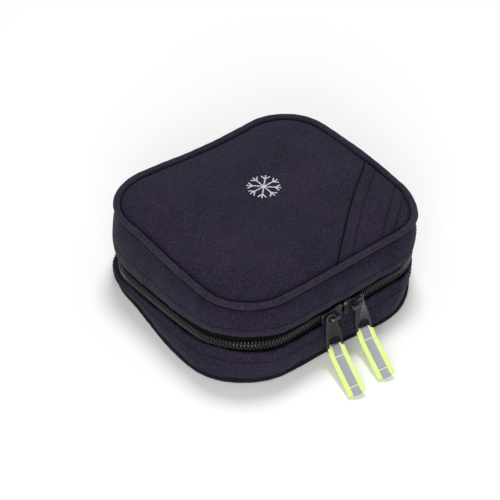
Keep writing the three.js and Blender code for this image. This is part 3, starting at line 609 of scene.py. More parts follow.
def raised(plan, height):
    """Points of the plan, each at its height."""
    return np.concatenate([plan, np.broadcast_to(height, plan.shape[:-1])[..., None]], -1)


def inside(x, y):
    """How far a point of the plan lies inside the outline, from the distance to a smaller rectangle."""
    dx, dy = np.abs(x) - (HALF_X - CORNER), np.abs(y) - (HALF_Y - CORNER)
    return CORNER - np.hypot(np.maximum(dx, 0), np.maximum(dy, 0)) - np.minimum(np.maximum(dx, dy), 0)


print(f"the middle of the plan lies {inside(0.0, 0.0):.0f} mm inside")

# %% [markdown]
# ## How the soft case settles
#
# The real case is not as straight as its pattern. The zip comes down towards the back, the walls bow out or
# in by a few millimetres, and the corners lean. Modelling each piece crooked would be hard to keep
# together. Instead the cover, the zip and the foam are made straight and then sent through one function
# that settles them, so that neighbours move together. The lining and the pen card follow the bow on their
# own. The tables give, for some heights, how far a wall stands out there.

# %% Fall of the zip
ZIP_Z, ZIP_FALL, LOW_HEM, HIGH_HEM = 37.0, 18.0, 29.8, 44.2
LEFT_SAG = [-90, -64, -36, -11, 14, 42, 65], [0.0, -1.8, 0.8, 1.4, 2.3, 3.7, 5.0]


def fall(x, y, share=1.0, sag=1.0):
    """How far the zip has come down: a straight slope from nothing at the front to 18 mm at the back.

    The left side is uneven: it stands a little higher at the front corner and sags by up to 5 mm behind it.
    """
    slope = ZIP_FALL * np.maximum((y + HALF_Y) / (2 * HALF_Y), 0)
    return share * (slope + sag * np.interp(y, *LEFT_SAG) * smooth((-x - 55) / 38))


print(f"the zip falls {fall(0.0, 0.0):.1f} mm halfway back")

# %% Bow of the walls
LEFT_BOW = [0, 37, 70], [5.6, 2.0, 2.8]
RIGHT_BOW = [0, 37, 66, 71], [1.0, 1.0, 2.0, 3.4]
RIGHT_TUCK = [0, 12, 26, 37, 58, 68], [1.0, 6.0, 6.5, 4.6, 4.2, 0.0]
FRONT_BOW = [0, 16, LOW_HEM, HIGH_HEM, 58, 70], [2.0, 1.2, 0.0, 0.0, 0.8, 1.2]
BACK_BOW = [20, 50, 70], [0.0, 1.0, 2.6]
BACK_LEFT = [0, 14, 28, 37, 46, 58, 70], [1.2, 1.8, 0.6, -1.4, -0.4, 1.4, 3.6]
BACK_DROP = 1.8


def bowed(points):
    """How a soft wall stands between and at its corners: outwards or inwards by a few millimetres.

    Between corners the amount follows a hump, at a corner a bell, and both depend on the height. Points near
    the middle of the plan hardly move.
    """
    x, y, z = np.moveaxis(points, -1, 0)
    near_side, near_front, near_back = (smooth((v - 40) / 46) for v in (np.abs(x), -y, y))
    along_back = hump(x, 22, 76)
    left = np.interp(z, *LEFT_BOW) * hump(y, -18, 86)
    right = np.interp(z, *RIGHT_BOW) * hump(y, 0, 92) - np.interp(z, *RIGHT_TUCK)
    front = np.interp(z, *FRONT_BOW) * hump(x, 0, 98)
    back = np.interp(z, *BACK_BOW) * along_back
    x_push = near_side * np.where(x < 0, -left, right)
    y_push = -near_front * front - near_back * back
    low, high = 1 - smooth((z - 6) / 26), np.interp(z, [52, 70], [0, 1])
    corners = [
        ((-76, 70), 24, (-1, 0.6), np.interp(z, *BACK_LEFT)),
        ((-86, -34), 28, (-1, -0.6), 3.8 * low),
        ((36, -92), 18, (0, -1), 4.0 * low),
        ((80, -76), 18, (0.8, -0.6), -3.4 * low),
        ((80, -78), 14, (0.05, -1), 4.2 * high),
        ((72, 72), 22, (1, 1), -1.2 * high),
    ]
    for middle, wide, toward, amount in corners:
        push = amount * spot(x, y, middle, wide)
        x_push, y_push = x_push + toward[0] * push, y_push + toward[1] * push
    drop = BACK_DROP * near_back * along_back * smooth((z - 30) / 40)
    return np.stack([x + x_push, y + y_push, z - drop], -1)


print("the middle of the left wall:", bowed(np.array([-HALF_X, 0.0, ZIP_Z])).round(1), "mm")

# %% Settled points
LOW_SEAM, HIGH_SEAM = 5.45, 67.7
LOW_HEM_RISE, HIGH_HEM_RISE, CORNER_RISE = 2.4, 1.3, 2.7


def settled(points):
    """Where a point of the straight case lies on the soft one.

    Between the two hems all comes down with the zip, and the bands shorten or lengthen evenly up to their
    piping. On the left side both hems stand higher, and at the front left corner the upper one opens. The
    walls also bow.
    """
    x, y, z = np.moveaxis(points, -1, 0)
    from_low, from_high = (z - LOW_SEAM) / (LOW_HEM - LOW_SEAM), (HIGH_SEAM - z) / (HIGH_SEAM - HIGH_HEM)
    share = np.clip(np.minimum(from_low, from_high), 0, 1)
    moved = bowed(points)
    moved[..., 2] -= fall(x, y, share, np.interp(z, [ZIP_Z, HIGH_HEM], [1.0, 0.45]))
    left, corner = smooth((-x - 60) / 30), spot(x, y, (-80, -68), 26)
    rise = np.where(z < ZIP_Z, LOW_HEM_RISE * left, HIGH_HEM_RISE * left + CORNER_RISE * corner)
    moved[..., 2] += rise * np.interp(np.abs(z - ZIP_Z), [4.7, 7.2, 30], [0, 1, 0])
    return moved


def carried(walk, out, height):
    """A profile of distances outside the plan and heights, one pair per column, carried along the walk."""
    return settled(raised(case_plan(walk[:, None], out), height))


print("a point at the back of the zip:", settled(np.array([0.0, HALF_Y, ZIP_Z])).round(1), "mm")

# %% [markdown]
# ## Rings, ropes and stitches
#
# Four forms come back in many pieces: panels made of rings, bowed and round profiles, ropes, and rows of
# stitches. Rings follow the outline down to the core, 38 mm inside, where the corners have nearly shrunk to
# a point; further in they keep their shape and only get smaller. A rope needs a path and a side to start
# on, and a stitch is a very short rope.

# %% Rings, ropes and stitches
CORE = -38.0


def ringed(rows):
    """Rings inside the outline; a row is a distance outside it, a share of that ring's size, and a height."""
    out, shrink, height = np.array(rows).T[:, :, None]
    return case_plan(once_round[None], out) * shrink[..., None], height


def bow(start, pull, end, count):
    """Points on a curve that leaves start towards pull and arrives at end from pull, a quadratic Bezier."""
    t = np.linspace(0, 1, count)[:, None]
    return (1 - t) ** 2 * np.array(start) + 2 * t * (1 - t) * np.array(pull) + t * t * np.array(end)


def arc(centre, radius, start, end, count):
    """Points on a part of a circle, angles in degrees."""
    return np.array(centre) + radius * unit(np.radians(np.linspace(start, end, count)))


def flat_oval(sides, square, rolled=0.0):
    """Width and thickness, -1 to 1, of a flat oval: cosine and sine to a power, thicker at rolled edges."""
    wide, thick = unit(np.arange(sides) * 2 * math.pi / sides).T
    thick = np.sign(thick) * np.abs(thick) ** 0.7 * (1 + rolled * np.abs(wide))
    return np.sign(wide) * np.abs(wide) ** square, thick


def heading(path):
    """The direction of a path at each of its points, as a step of length 1."""
    ahead = np.gradient(path, axis=-2)
    return ahead / np.linalg.norm(ahead, axis=-1, keepdims=True)


def rope(path, radius, side, count=8):
    """Circles round a path: each stands square to the path, and starts on the given side of it."""
    path = np.asarray(path, float)
    ahead, side = heading(path), np.broadcast_to(side, path.shape)
    side = side - (side * ahead).sum(-1, keepdims=True) * ahead
    side = side / np.linalg.norm(side, axis=-1, keepdims=True)
    angle = (np.arange(count) * 2 * math.pi / count)[:, None]
    ring = np.cos(angle) * side[..., None, :] + np.sin(angle) * np.cross(ahead, side)[..., None, :]
    return path[..., None, :] + radius * ring


def stitches(path, lift, long=2.7, gap=0.9, thick=0.3):
    """A row of stitches: short ropes that rise out of the cloth along lift and dip back into it."""
    path, lift = np.asarray(path, float), np.broadcast_to(lift, np.shape(path))
    walk = np.concatenate([[0], np.cumsum(np.linalg.norm(np.diff(path, axis=0), axis=1))])
    t = np.linspace(0, 1, 5)
    at = np.arange(gap, walk[-1] - long, long + gap)[:, None] + long * t
    centre, up = (np.stack([np.interp(at, walk, line[:, k]) for k in range(3)], -1) for line in (path, lift))
    arch = thick * (1.5 * np.sin(math.pi * t) - 0.9)
    return rope(centre + up * arch[:, None], thick, up, 6)


# %% [markdown]
# ## Cloth under pressure
#
# The lid's cloth is sewn down at its edge and pushed up by foam, and the gel pack's film is welded at its
# edge and pushed out by gel. Both shapes come from a simulation: Blender's Cloth for 20 frames, with the
# edge held, a little spare cloth and pressure from inside. Foam and gel give way only so far, so a point
# that wants to go further than a set distance is held back softly.

# %% Cloth simulation
FRAMES, PRESSURE = 20, 4.0


def pressed(piece, held, spare, cap):
    """Where the points of a piece go under pressure, in millimetres.

    Held points stay. The length of each move is bent by a hyperbolic tangent, so that it stays below cap.
    """
    start = np.empty(3 * len(piece.data.vertices))
    piece.data.vertices.foreach_get("co", start)
    moved = start.copy()
    piece.vertex_groups.new(name="held").add(np.flatnonzero(held).tolist(), 1.0, "REPLACE")
    cover = piece.modifiers.new("cover", "CLOTH")
    settings = cover.settings
    settings.quality, settings.mass = 6, 0.1
    settings.bending_stiffness, settings.shrink_min = 0.1, -spare
    settings.vertex_group_mass, settings.effector_weights.gravity = "held", 0.0
    settings.use_pressure, settings.uniform_pressure_force = True, PRESSURE
    cover.collision_settings.use_collision = False
    cover.point_cache.frame_start, cover.point_cache.frame_end = 1, FRAMES
    for step in range(1, FRAMES + 1):
        scene.frame_set(step)
    piece.evaluated_get(bpy.context.evaluated_depsgraph_get()).data.vertices.foreach_get("co", moved)
    piece.modifiers.remove(cover)
    piece.vertex_groups.clear()
    scene.frame_set(1)
    move = (moved - start).reshape(-1, 3) / MM
    far = np.maximum(np.linalg.norm(move, axis=1, keepdims=True), 1e-9)
    print(f"{piece.name}: the longest move {far.max():.1f} mm, kept under {cap} mm")
    return start.reshape(-1, 3) / MM + move * cap * np.tanh(far / cap) / far


# %% [markdown]
# ## Height of the lid
#
# The top is one piece of cloth over soft foam, so it is highest in the middle and comes down to the piping
# along a soft curve. It could be simulated as it is, but then its seam would wander. So a plain sheet is
# simulated, and only its heights are kept, in a table with a step of 1 mm. The lid's panel, the strap and
# the print all read this table, so they lie exactly on each other.

# %% Lid sheet
SHEET_X, SHEET_Y, SHEET_STEP = 93, 87, 3.0
CROWN, CROWN_WIDE, SEWN_AT, EDGE_Z = 3.6, 58.0, 2.8, 71.1


def crown(deep):
    """How far the foam lifts the cloth, by the distance inside the outline: steep at the edge, then flat."""
    return CROWN * (1 - (1 - np.clip(deep / CROWN_WIDE, 0, 1)) ** 2.4)


sheet_x, sheet_y = (np.arange(-half, half + 1, SHEET_STEP) for half in (SHEET_X, SHEET_Y))
x, y = np.meshgrid(sheet_x, sheet_y, indexing="ij")
sheet_points = np.dstack([x, y, EDGE_Z + crown(inside(x, y)) - crown(SEWN_AT)])
lid_sheet = sewn("lid_sheet", sheet_points, tube=False, ends="open")
sheet_z = pressed(lid_sheet, inside(x, y).ravel() < 3.2, 0.006, 1.5)[:, 2].reshape(x.shape)
bpy.data.meshes.remove(lid_sheet.data)
by_x = np.stack([np.interp(np.arange(-SHEET_X, SHEET_X + 1), sheet_x, line) for line in sheet_z.T], 1)
heights = np.stack([np.interp(np.arange(-SHEET_Y, SHEET_Y + 1), sheet_y, line) for line in by_x])
for _ in range(5):
    heights[1:-1] = (heights[:-2] + 2 * heights[1:-1] + heights[2:]) / 4
    heights[:, 1:-1] = (heights[:, :-2] + 2 * heights[:, 1:-1] + heights[:, 2:]) / 4
print(f"the lid's cloth stands {heights.max():.1f} mm high")

# %% Lid height
STRAP_FACING = math.radians(39.5)
STRAP_ACROSS, STRAP_ALONG = unit(STRAP_FACING - math.pi / 2), unit(STRAP_FACING)


def lid_height(x, y):
    """Height of the lid: a mean of the table's four nearest entries, slow waves, and creases by the strap."""
    u, v = np.clip(x + SHEET_X, 0, 2 * SHEET_X - 0.01), np.clip(y + SHEET_Y, 0, 2 * SHEET_Y - 0.01)
    i, j = u.astype(int), v.astype(int)
    u, v = u - i, v - j
    near, far = ((1 - v) * heights[i + k, j] + v * heights[i + k, j + 1] for k in (0, 1))
    slack = 0.3 * np.sin(x / 17 + 0.6) * np.sin(y / 21 + 1.1) + 0.15 * np.sin((x + 1.7 * y) / 13)
    across, along = (x * step[0] + y * step[1] for step in (STRAP_ACROSS, STRAP_ALONG))
    crease = 0.6 * bell(across, 54, 9) * np.sin(along / 6.5 + across / 7)
    return (1 - u) * near + u * far + (slack + crease) * np.clip((inside(x, y) - 3) / 22, 0, 1)


print(f"the middle of the lid is {lid_height(np.array(0.0), np.array(0.0)):.1f} mm high")

# %% [markdown]
# ## Lid top panel
#
# The panel is made of rings that follow the outline, because then its seam stays clean all round. It goes
# out under the foam, is tucked in beside the piping and comes back over the top. At the seam the cloth is
# drawn down into a small valley that puckers between stitches. The valley and the tuck are painted with
# shade, as the piping shades them, in a line that is wider towards the front left.

# %% Lid top panel
VALLEY, PUCKER, SEAM_OUT = 1.1, 0.1, -3.2
under = [(CORE, 0.05, 68.8), (CORE, 0.6, 68.8), (CORE, 1, 68.8), (-20, 1, 68.7)]
tuck = [(-4.4, 1, 68.6), (-2.2, 1, 68.6), (-2.1, 1, 69.0), (-2.4, 1, 69.4), (-3.0, 1, 69.8)]
over_edge = [(-d, 1, 0) for d in np.concatenate([np.linspace(3.9, 8, 6), np.linspace(10, 38, 15)])]
over_middle = [(CORE, f, 0) for f in np.linspace(0.96, 0.03, 24)]
rows = np.array(under + tuck + over_edge + over_middle)
plan, height = ringed(rows)
out, whole = rows[:, :1], rows[:, 1:2] == 1
top = lid_height(*xy(plan)) + (PUCKER * wave(once_round, 90) - VALLEY) * bell(out, -3, 3) * whole
lid_points = settled(raised(plan, np.where(height == 0, top, height)))
# Painted shade along the seam's valley, where the piping shades it: a dark line, wider towards the front
# left.
seam_wide = 1.0 + 0.7 * smooth((-plan[..., 0] - plan[..., 1] - 10) / 50)
painted_shade_mask = np.where(out > SEAM_OUT, 1.0, bell(out, SEAM_OUT, seam_wide)) * whole
lid_panel = sewn("lid_top_panel_cloth", lid_points, ends="point", plan=True, seam=painted_shade_mask)
dress(lid_panel, "lid", "cloth", case_cloth, "lid_top_panel", "lid_top_foam")

# %% [markdown]
# ## Piping
#
# A piping is a cord wrapped in a strip of cloth and caught in the seam. It shows as a round edge that holds
# the box in shape. A circle carried round the plan makes it. The radius changes a little along the walk, as
# a wrapped cord does. The lid's piping has the case's cloth painted lighter, as light on a raised cord, and
# the base's piping a copy painted darker, as shade where it curls under by the floor.

# %% Piping
def piping(out, height, radius, times):
    """A circle of distance and height carried once round; slow waves change its place and its radius."""
    a = np.arange(14) * 2 * math.pi / 14
    walk = once_round[:, None]
    swell = radius + 0.07 * wave(walk, times) + 0.05 * wave(walk, times * 3 + 1, 1.0)
    lift = 0.2 * wave(walk, 5, 0.4) + 0.12 * wave(walk, 9, 2.0)
    return carried(once_round, out + swell * np.cos(a), height + lift + swell * np.sin(a))


add("lid_piping_cord", piping(0, 70.5, 2.5, 21), "lid", "trim", lit_piping_cloth, "lid_piping", ring=True)
add("base_piping_cord", piping(5.1, 2.45, 2.1, 23), "base", "trim", shaded_piping_cloth, "base_piping", ring=True)

# %% [markdown]
# ## Side bands
#
# Two bands make the wall: one hangs from the lid's piping, one rises from the base's, and each ends in a
# folded hem beside the zip. The profile is a bowed line, a round fold and the inside of the cloth, carried
# round all sides but the back. Small ripples along the hem are what a sewing machine leaves in a soft wall.

# %% Side bands
FACE, HEM_R = 32, 1.2
TURNED = slice(FACE + 2, FACE + 11)


def band_profile(edge, pull, hem, fold):
    """Closed profile of a band: bowed outside, a round hem of two layers, the turned-in layer and the inside.

    Each row is a distance outside the plan and a height; fold is +1 for a hem at the top, -1 at the bottom.
    """
    out, height = hem
    outside = bow(edge, pull, (out, height - fold * HEM_R), FACE)
    round_hem = arc((out - HEM_R, height - fold * HEM_R), HEM_R, 0, fold * 180, 9)[1:]
    turned = [(out - back, height - fold * down) for back, down in ((2.4, 3.0), (2.4, 5.0), (1.5, 5.6))]
    return np.concatenate([outside, round_hem, turned, outside[22:1:-5] - (HEM_R, 0)])


def ripple(walk, height, hem):
    """How far a soft wall stands in or out: two slow waves, and short ones close to the hem."""
    slow = 0.3 * wave(walk, 13, height / 11) + 0.2 * wave(walk, 31, -height / 8)
    return slow + bell(height, hem, 4.5) * (0.16 * wave(walk, 97) + 0.1 * wave(walk, 61, 1.0))


def side_band(profile, hem, sewn_at, edge, under):
    """A band profile carried along the zip walk, with the ripple added to its distance outside.

    The cloth is painted with shade: a little along its stitches, by edge beside the piping and by under on
    the turned side of the hem, where the hem shades it.
    """
    out, height = profile.T
    painted_shade_mask = np.maximum(0.2 * bell(height, sewn_at, 0.7), edge * bell(height, height[0], 1.2))
    painted_shade_mask[TURNED] = under
    return carried(zip_walk, out + ripple(zip_walk[:, None], height, hem), height), painted_shade_mask


lid_band = band_profile((0.6, HIGH_SEAM), (10.0, 55.9), (8.0, HIGH_HEM), -1)
base_band = band_profile((5.9, 4.3), (10.2, 16.6), (8.0, LOW_HEM), 1)
# The last two numbers of each band are its painted shade beside the piping and under the hem.
BANDS = (("lid", lid_band, HIGH_HEM, 52.4, 1.0, 1.0), ("base", base_band, LOW_HEM, 21.6, 0.35, 0.0))
for body, *band in BANDS:
    points, painted_shade_mask = side_band(*band)
    add(f"{body}_side_band_cloth", points, body, "cloth", case_cloth, f"{body}_side_band", seam=painted_shade_mask)

# %% [markdown]
# ## Topstitching on the bands
#
# A row of dark stitches holds each turned-in hem. A drawn line in the material would be flat in close
# light, and real stitches are cheap: each is a short rope of a few faces, and one mesh holds the whole row.

# %% Band stitches
def band_stitches(profile, hem, height):
    """Stitches on a band at one height, on the outside of its rippled profile."""
    face = profile[:FACE]
    out = np.interp(height, *(face[::-1] if face[0, 1] > face[-1, 1] else face).T[::-1])
    row = np.array([height])
    path = carried(zip_walk, out + ripple(zip_walk[:, None], row, hem), row)[:, 0]
    return stitches(path, raised(unit(np.interp(zip_walk, KNOTS, FACING)), 0.0))


for body, profile, hem, sewn_at, *_ in BANDS:
    add(f"{body}_hem_stitches", band_stitches(profile, hem, sewn_at), body, "trim", seam_thread)

# %% [markdown]
# ## Zip tape and coil
#
# A coil zip is two nylon spirals, each sewn along a woven tape, whose heads hook between each other. The
# spiral is a flattened helix: it goes out over the head, back under, and on by one pitch each turn. Its
# legs lean along the zip, which gives the fishbone look. The two halves are shifted by half a pitch, so
# that the heads stand in turn. Along the left side the upper half is a little narrower, because there its
# hem hangs over it.

# %% Zip
COIL_PITCH, COIL_WIRE, COIL_LEAN = 2.2, 0.56, 0.16
COIL_MIDDLE, COIL_SWING, COIL_OUT, COIL_DEEP = 1.75, 2.15, 5.9, 0.6
LEFT_END, LEFT_FADE, LEFT_NARROW = 190, 45, 0.2
TAPE_OUT, TAPE_HALF, TAPE_NEAR, TAPE_FAR = 5.0, 0.25, 1.3, 10.2


def zip_coil(side):
    """A wire round a flattened helix: height swings from head to root, distance in and out, walk goes on."""
    turns = int(OPEN / COIL_PITCH) - 1
    t = np.linspace(0, turns * 2 * math.pi, turns * 14)
    walk = COIL_PITCH * (0.5 + t / (2 * math.pi) + (0.5 if side > 0 else 0.0))
    narrow = LEFT_NARROW * max(side, 0) * smooth((LEFT_END - walk) / LEFT_FADE)
    reach = (COIL_MIDDLE - COIL_SWING * np.cos(t)) * (1 - narrow)
    walk = walk + COIL_LEAN * reach
    out = COIL_OUT + COIL_DEEP * np.sin(t)
    path = settled(raised(case_plan(walk, out), ZIP_Z + side * reach))
    ahead = raised(case_plan(walk + 0.5, out) - case_plan(walk - 0.5, out), 0.0)
    return rope(path, COIL_WIRE, ahead, 6)


def zip_tape(side):
    """A thin woven band, from beside the coil's heads to under the hem."""
    near, far = ZIP_Z + side * TAPE_NEAR, ZIP_Z + side * TAPE_FAR
    back, front, half_way = TAPE_OUT - TAPE_HALF, TAPE_OUT + TAPE_HALF, (near + far) / 2
    edge = [(back, near), (TAPE_OUT, near - side * 0.15), (front, near)]
    out, height = np.array([*edge, (front, half_way), (front, far), (back, far), (back, half_way)]).T
    return carried(zip_walk, out, height)


for body, side in (("lid", 1), ("base", -1)):
    add(f"{body}_zip_tape_weave", zip_tape(side), body, "zip_tape", tape_weave, f"{body}_zip_tape")
    add(f"{body}_zip_coil", zip_coil(side), body, "zip_coil", zip_nylon, f"{body}_zip_chain")

# %% [markdown]
# ## Bottom panel
#
# The bottom is flat where it stands. It is the same cloth, made of rings as the lid's panel is, with a
# small roll at its edge where it meets the piping.

# %% Bottom panel
roll = [(0.6, 1, 0), (1.8, 1, 0.25), (2.2, 1, 0.7), (1.8, 1, 1.15), (0.6, 1, 1.4)]
below = [(CORE, 0.05, 0), (CORE, 1, 0), (-12, 1, 0)]
above = [(-12, 1, 1.4), (CORE, 1, 1.4), (CORE, 0.05, 1.4)]
bottom = settled(raised(*ringed(below + roll + above)))
add("bottom_panel_cloth", bottom, "base", "cloth", case_cloth, "bottom_panel", ends="point", plan=True)

# %% [markdown]
# ## Fabric hinge
#
# At the back there is no zip: one wide piece of cloth runs from the lid's piping to the base's and folds
# when the lid opens. Here it is made as one surface in place, and it rides on no body.

# %% Fabric hinge
HINGE_OUT, HINGE_TOP, HINGE_LOW, HINGE_HALF, HINGE_THICK = 9.4, 43.5, 30.5, 52, 1.3
FOLD_LOW, FOLD_HIGH = (0, 0.0929, 0.0120), (0, 0.0929, 0.0240)
upper = bow((1.4, 67.8), (11.0, 55.5), (HINGE_OUT, HINGE_TOP), 16)
lower = bow((HINGE_OUT, HINGE_LOW), (10.8, 17.6), (6.2, 5.5), 14)
dip = HINGE_OUT - 0.5 * np.sin(np.linspace(0, math.pi, 10))
middle = np.column_stack([dip, np.linspace(HINGE_TOP, HINGE_LOW, 10)])[1:-1]
outside = np.concatenate([upper, middle, lower])
out, height = np.concatenate([outside, outside[::-2] - (HINGE_THICK, 0)]).T
across = np.linspace(-HINGE_HALF, HINGE_HALF, 70)[:, None]
swell = 0.25 * np.sin(across / 9 + height / 7) - 0.9 * np.clip((np.abs(across) - 49.5) / 2.5, 0, 1)
plan = np.stack(np.broadcast_arrays(across, HALF_Y + out + swell), -1)
leaves = "hinge_leaf_upper", "hinge_leaf_lower"
fold = "base", FOLD_LOW, FOLD_HIGH
add("hinge_panel_cloth", settled(raised(plan, height)), "lid", "cloth", case_cloth, *leaves, bend=fold)

# %% [markdown]
# ## Corner strap
#
# A hemmed flap of the same cloth lies across the front right corner, caught at both ends under the piping
# and stitched along both edges. Its grid runs along and across the strap, and each point takes the lid's
# height plus the thickness of the flap, so it lies on the crown without a gap. Shade is painted on it: a dark
# line along its outer edge, faint lines along its stitches and dark ends where it runs under the piping. A
# narrow ledge on the lid along its inner edge is painted dark as the gap's shadow.

# %% Corner strap
STRAP_IN, INNER_ROW, OUTER_ROW, STRAP_OUT = 63.0, 71.0, 89.0, 96.0
HELD_IN, HELD_DOWN, STRAP_SUNK, STRAP_THICK = 2.4, 1.2, -0.4, 1.3


def strap_plan(across, along):
    """Points of the plan from their distances across and along the strap."""
    return np.asarray(across)[..., None] * STRAP_ACROSS + along[..., None] * STRAP_ALONG


def strap_reach(across):
    """Where the strap's line at this distance across runs under the piping, at its two ends."""
    along = np.linspace(-110, 110, 2201)
    held = inside(*xy(strap_plan(across[:, None], along))) > HELD_IN
    return np.where(held, along, 999).min(1), np.where(held, along, -999).max(1)


def strap_lift(across):
    """How high the flap stands off the lid: two thick hems, pressed down along the two rows of stitches."""
    hem = sum(np.clip(past / 2, 0, 1) for past in (INNER_ROW + 0.5 - across, across - OUTER_ROW + 0.5))
    press = 0.8 * (bell(across, INNER_ROW, 0.9) + bell(across, OUTER_ROW, 0.9))
    return STRAP_THICK + 0.7 * hem - press


face = np.linspace(STRAP_IN + 0.5, STRAP_OUT - 0.5, 60)
back = face[::-6]
# The inner edge begins with a flat ledge about 2 mm wide just above the lid, which only carries painted
# shade.
inner_edge, outer_edge = STRAP_IN - np.array([2.1, 2.1, 0.3, 0.1, 0]), STRAP_OUT + np.array([0, 0.1, 0])
across = np.concatenate([inner_edge, face, outer_edge, back])
sunk = np.full(len(back), STRAP_SUNK)
lift = np.concatenate([[STRAP_SUNK, 0.2, 0.2, 0.9, 1.8], strap_lift(face), [1.7, 0.7, STRAP_SUNK], sunk])
# Painted shade: lines along both stitch rows and the outer edge, and full shade on the ledge inside the inner
# edge.
seams = (0.3, INNER_ROW, 0.6), (0.4, OUTER_ROW, 0.6), (1, STRAP_OUT + 0.1, 0.8)
painted_shade_mask = sum(deep * bell(across, row, wide) for deep, row, wide in seams) + (across < STRAP_IN - 0.05)
low, high = strap_reach(across)
share = 0.5 - 0.5 * np.cos(np.linspace(0, math.pi, 72))[:, None]
plan = strap_plan(across, low + (high - low) * share)
held = 1 - smooth((inside(*xy(plan)) - HELD_IN) / 4.5)
# Painted shade at both ends, where the strap runs under the piping.
painted_shade_mask = np.maximum(painted_shade_mask, smooth((held - 0.55) / 0.4))
strap = settled(raised(plan, lid_height(*xy(plan)) + lift * (1 - held) - HELD_DOWN * held))
add("corner_strap_cloth", strap, "lid", "cloth", case_cloth, "corner_strap", seam=painted_shade_mask)

# %% [markdown]
# ## Strap stitches
#
# Two rows of stitches hold the strap's hems, one near each edge. They read the same height as the flap, so
# they lie in the line that they press into it.

# %% Strap stitches
for name, row in (("inner", INNER_ROW), ("outer", OUTER_ROW)):
    (low,), (high,) = strap_reach(np.array([row]))
    plan = strap_plan(row, np.linspace(low + 1, high - 1, 120))
    path = settled(raised(plan, lid_height(*xy(plan)) + strap_lift(row)))
    add(f"strap_stitches_{name}", stitches(path, (0.0, 0.0, 1.0)), "lid", "trim", seam_thread)

# %% [markdown]
# ## Snowflake print
#
# A plain eight-armed snowflake, the common sign for cold, is printed in white on the lid. It is a mesh and
# not a texture: 24 short bars of ink, three for each arm, laid on the lid's height formula.

# %% Snowflake print
FLAKE_AT, FLAKE_R, FORK_AT, BARB, BAR_WIDE, INK = np.array([7.8, 12.3]), 13.0, 0.66, 0.35, 1.0, 0.14
arm = np.radians(np.arange(8) * 45.0)
fork = FLAKE_AT + FORK_AT * FLAKE_R * unit(arm)
barbs = [fork + BARB * FLAKE_R * unit(arm + turn) for turn in (-math.pi / 4, math.pi / 4)]
start = np.concatenate([np.broadcast_to(FLAKE_AT, (8, 2)), fork, fork])[:, None, None]
bar = np.concatenate([FLAKE_AT + FLAKE_R * unit(arm), *barbs])[:, None, None] - start
ahead = bar / np.linalg.norm(bar, axis=-1, keepdims=True)
sideways = np.stack([-ahead[..., 1], ahead[..., 0]], -1)
corner = np.array([-0.5, -0.4, 0.4, 0.5, 0.5, 0.4, -0.4, -0.5])[:, None] * BAR_WIDE
ink = np.array([0.05, INK, INK, 0.05, -0.4, -0.4, -0.4, -0.4])
plan = start + bar * np.linspace(0, 1, 9)[:, None, None] + sideways * corner
bars = settled(raised(plan, lid_height(*xy(plan)) + ink))
add("snowflake_print", bars, "lid", "cloth", print_white, crease=30)

# %% [markdown]
# ## Sliders and pull tabs
#
# The metal pieces are cast, so their edges are never sharp: a thin bright line along each edge is what
# makes them read as metal. Their CAD shape is right, so a copy of it is merged and gets a Bevel modifier.
# The CAD node itself is only hidden, not changed.

# %% Sliders and pull tabs
EDGE_ROUND = 0.3


def rounded_copy(node_name):
    """A copy of a CAD node with its doubles merged, its flat faces joined and its edges rounded."""
    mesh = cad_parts[node_name].data.copy()
    shape = bmesh.new()
    shape.from_mesh(mesh)
    bmesh.ops.remove_doubles(shape, verts=shape.verts, dist=1e-6)
    bmesh.ops.dissolve_limit(shape, angle_limit=math.radians(1), verts=shape.verts, edges=shape.edges)
    shape.to_mesh(mesh)
    shape.free()
    mesh.materials.clear()
    mesh.shade_smooth()
    piece = bpy.data.objects.new(f"{node_name}_cast", mesh)
    scene.collection.objects.link(piece)
    bevel = piece.modifiers.new("rounded_edges", "BEVEL")
    bevel.width, bevel.segments = EDGE_ROUND * MM, 3
    bevel.limit_method, bevel.angle_limit = "ANGLE", math.radians(30)
    bevel.harden_normals = True
    return piece


for metal in ("slider_left", "pull_tab_left", "slider_right", "pull_tab_right"):
    dress(rounded_copy(metal), metal, "zip_metal", dark_metal, metal)

# %% [markdown]
# ## Webbing pulls
#
# Each pull is one strip of bright webbing, folded through the tab's slot and sewn to itself, with a grey
# reflective strip down the middle. The path is a hairpin: in along the lower layer, round the bar, out
# along the upper layer. The strip is pinched where it passes the slot. It comes down nearly to the floor and
# twists a little. The webbing and its grey strip are made in place and ride on no body; the stitches ride on
# the pull's own body.

# %% Path of a pull
PULL_YAW, PULL_TWIST = math.radians(16), math.radians(15)
PULL_LONG, PULL_WIDE, PULL_NECK, PULL_THICK = 40.5, 13.4, 9.8, 1.1
BAR_Y, BAR_Z, LOOP_R, LAYER, PULL_END_Z = -101.498, 12.743, 2.15, 0.6, 3.4
PULL_FALL = math.asin((BAR_Z - PULL_END_Z) / PULL_LONG)
PULL_AHEAD = np.append(-math.cos(PULL_FALL) * unit(math.pi / 2 - PULL_YAW), -math.sin(PULL_FALL))
PULL_ACROSS = np.append(unit(-PULL_YAW), 0.0)
PULL_UP = np.cross(PULL_AHEAD, PULL_ACROSS)


def layer_height(far):
    """Height of the upper layer over the pull's middle: the loop's radius at the bar, less further out."""
    return LAYER + (LOOP_R - LAYER) * smooth((9 - far) / 9)


def pull_place(bar_x, far, sideways, up):
    """A point of a pull from its distance from the bar, its place across and its height, and the twist."""
    turn = PULL_TWIST * smooth((far - 1) / 12)
    across, above = sideways * np.cos(turn) - up * np.sin(turn), sideways * np.sin(turn) + up * np.cos(turn)
    far, across, above = (v[..., None] for v in np.broadcast_arrays(far, across, above))
    return np.array([bar_x, BAR_Y, BAR_Z]) + far * PULL_AHEAD + across * PULL_ACROSS + above * PULL_UP


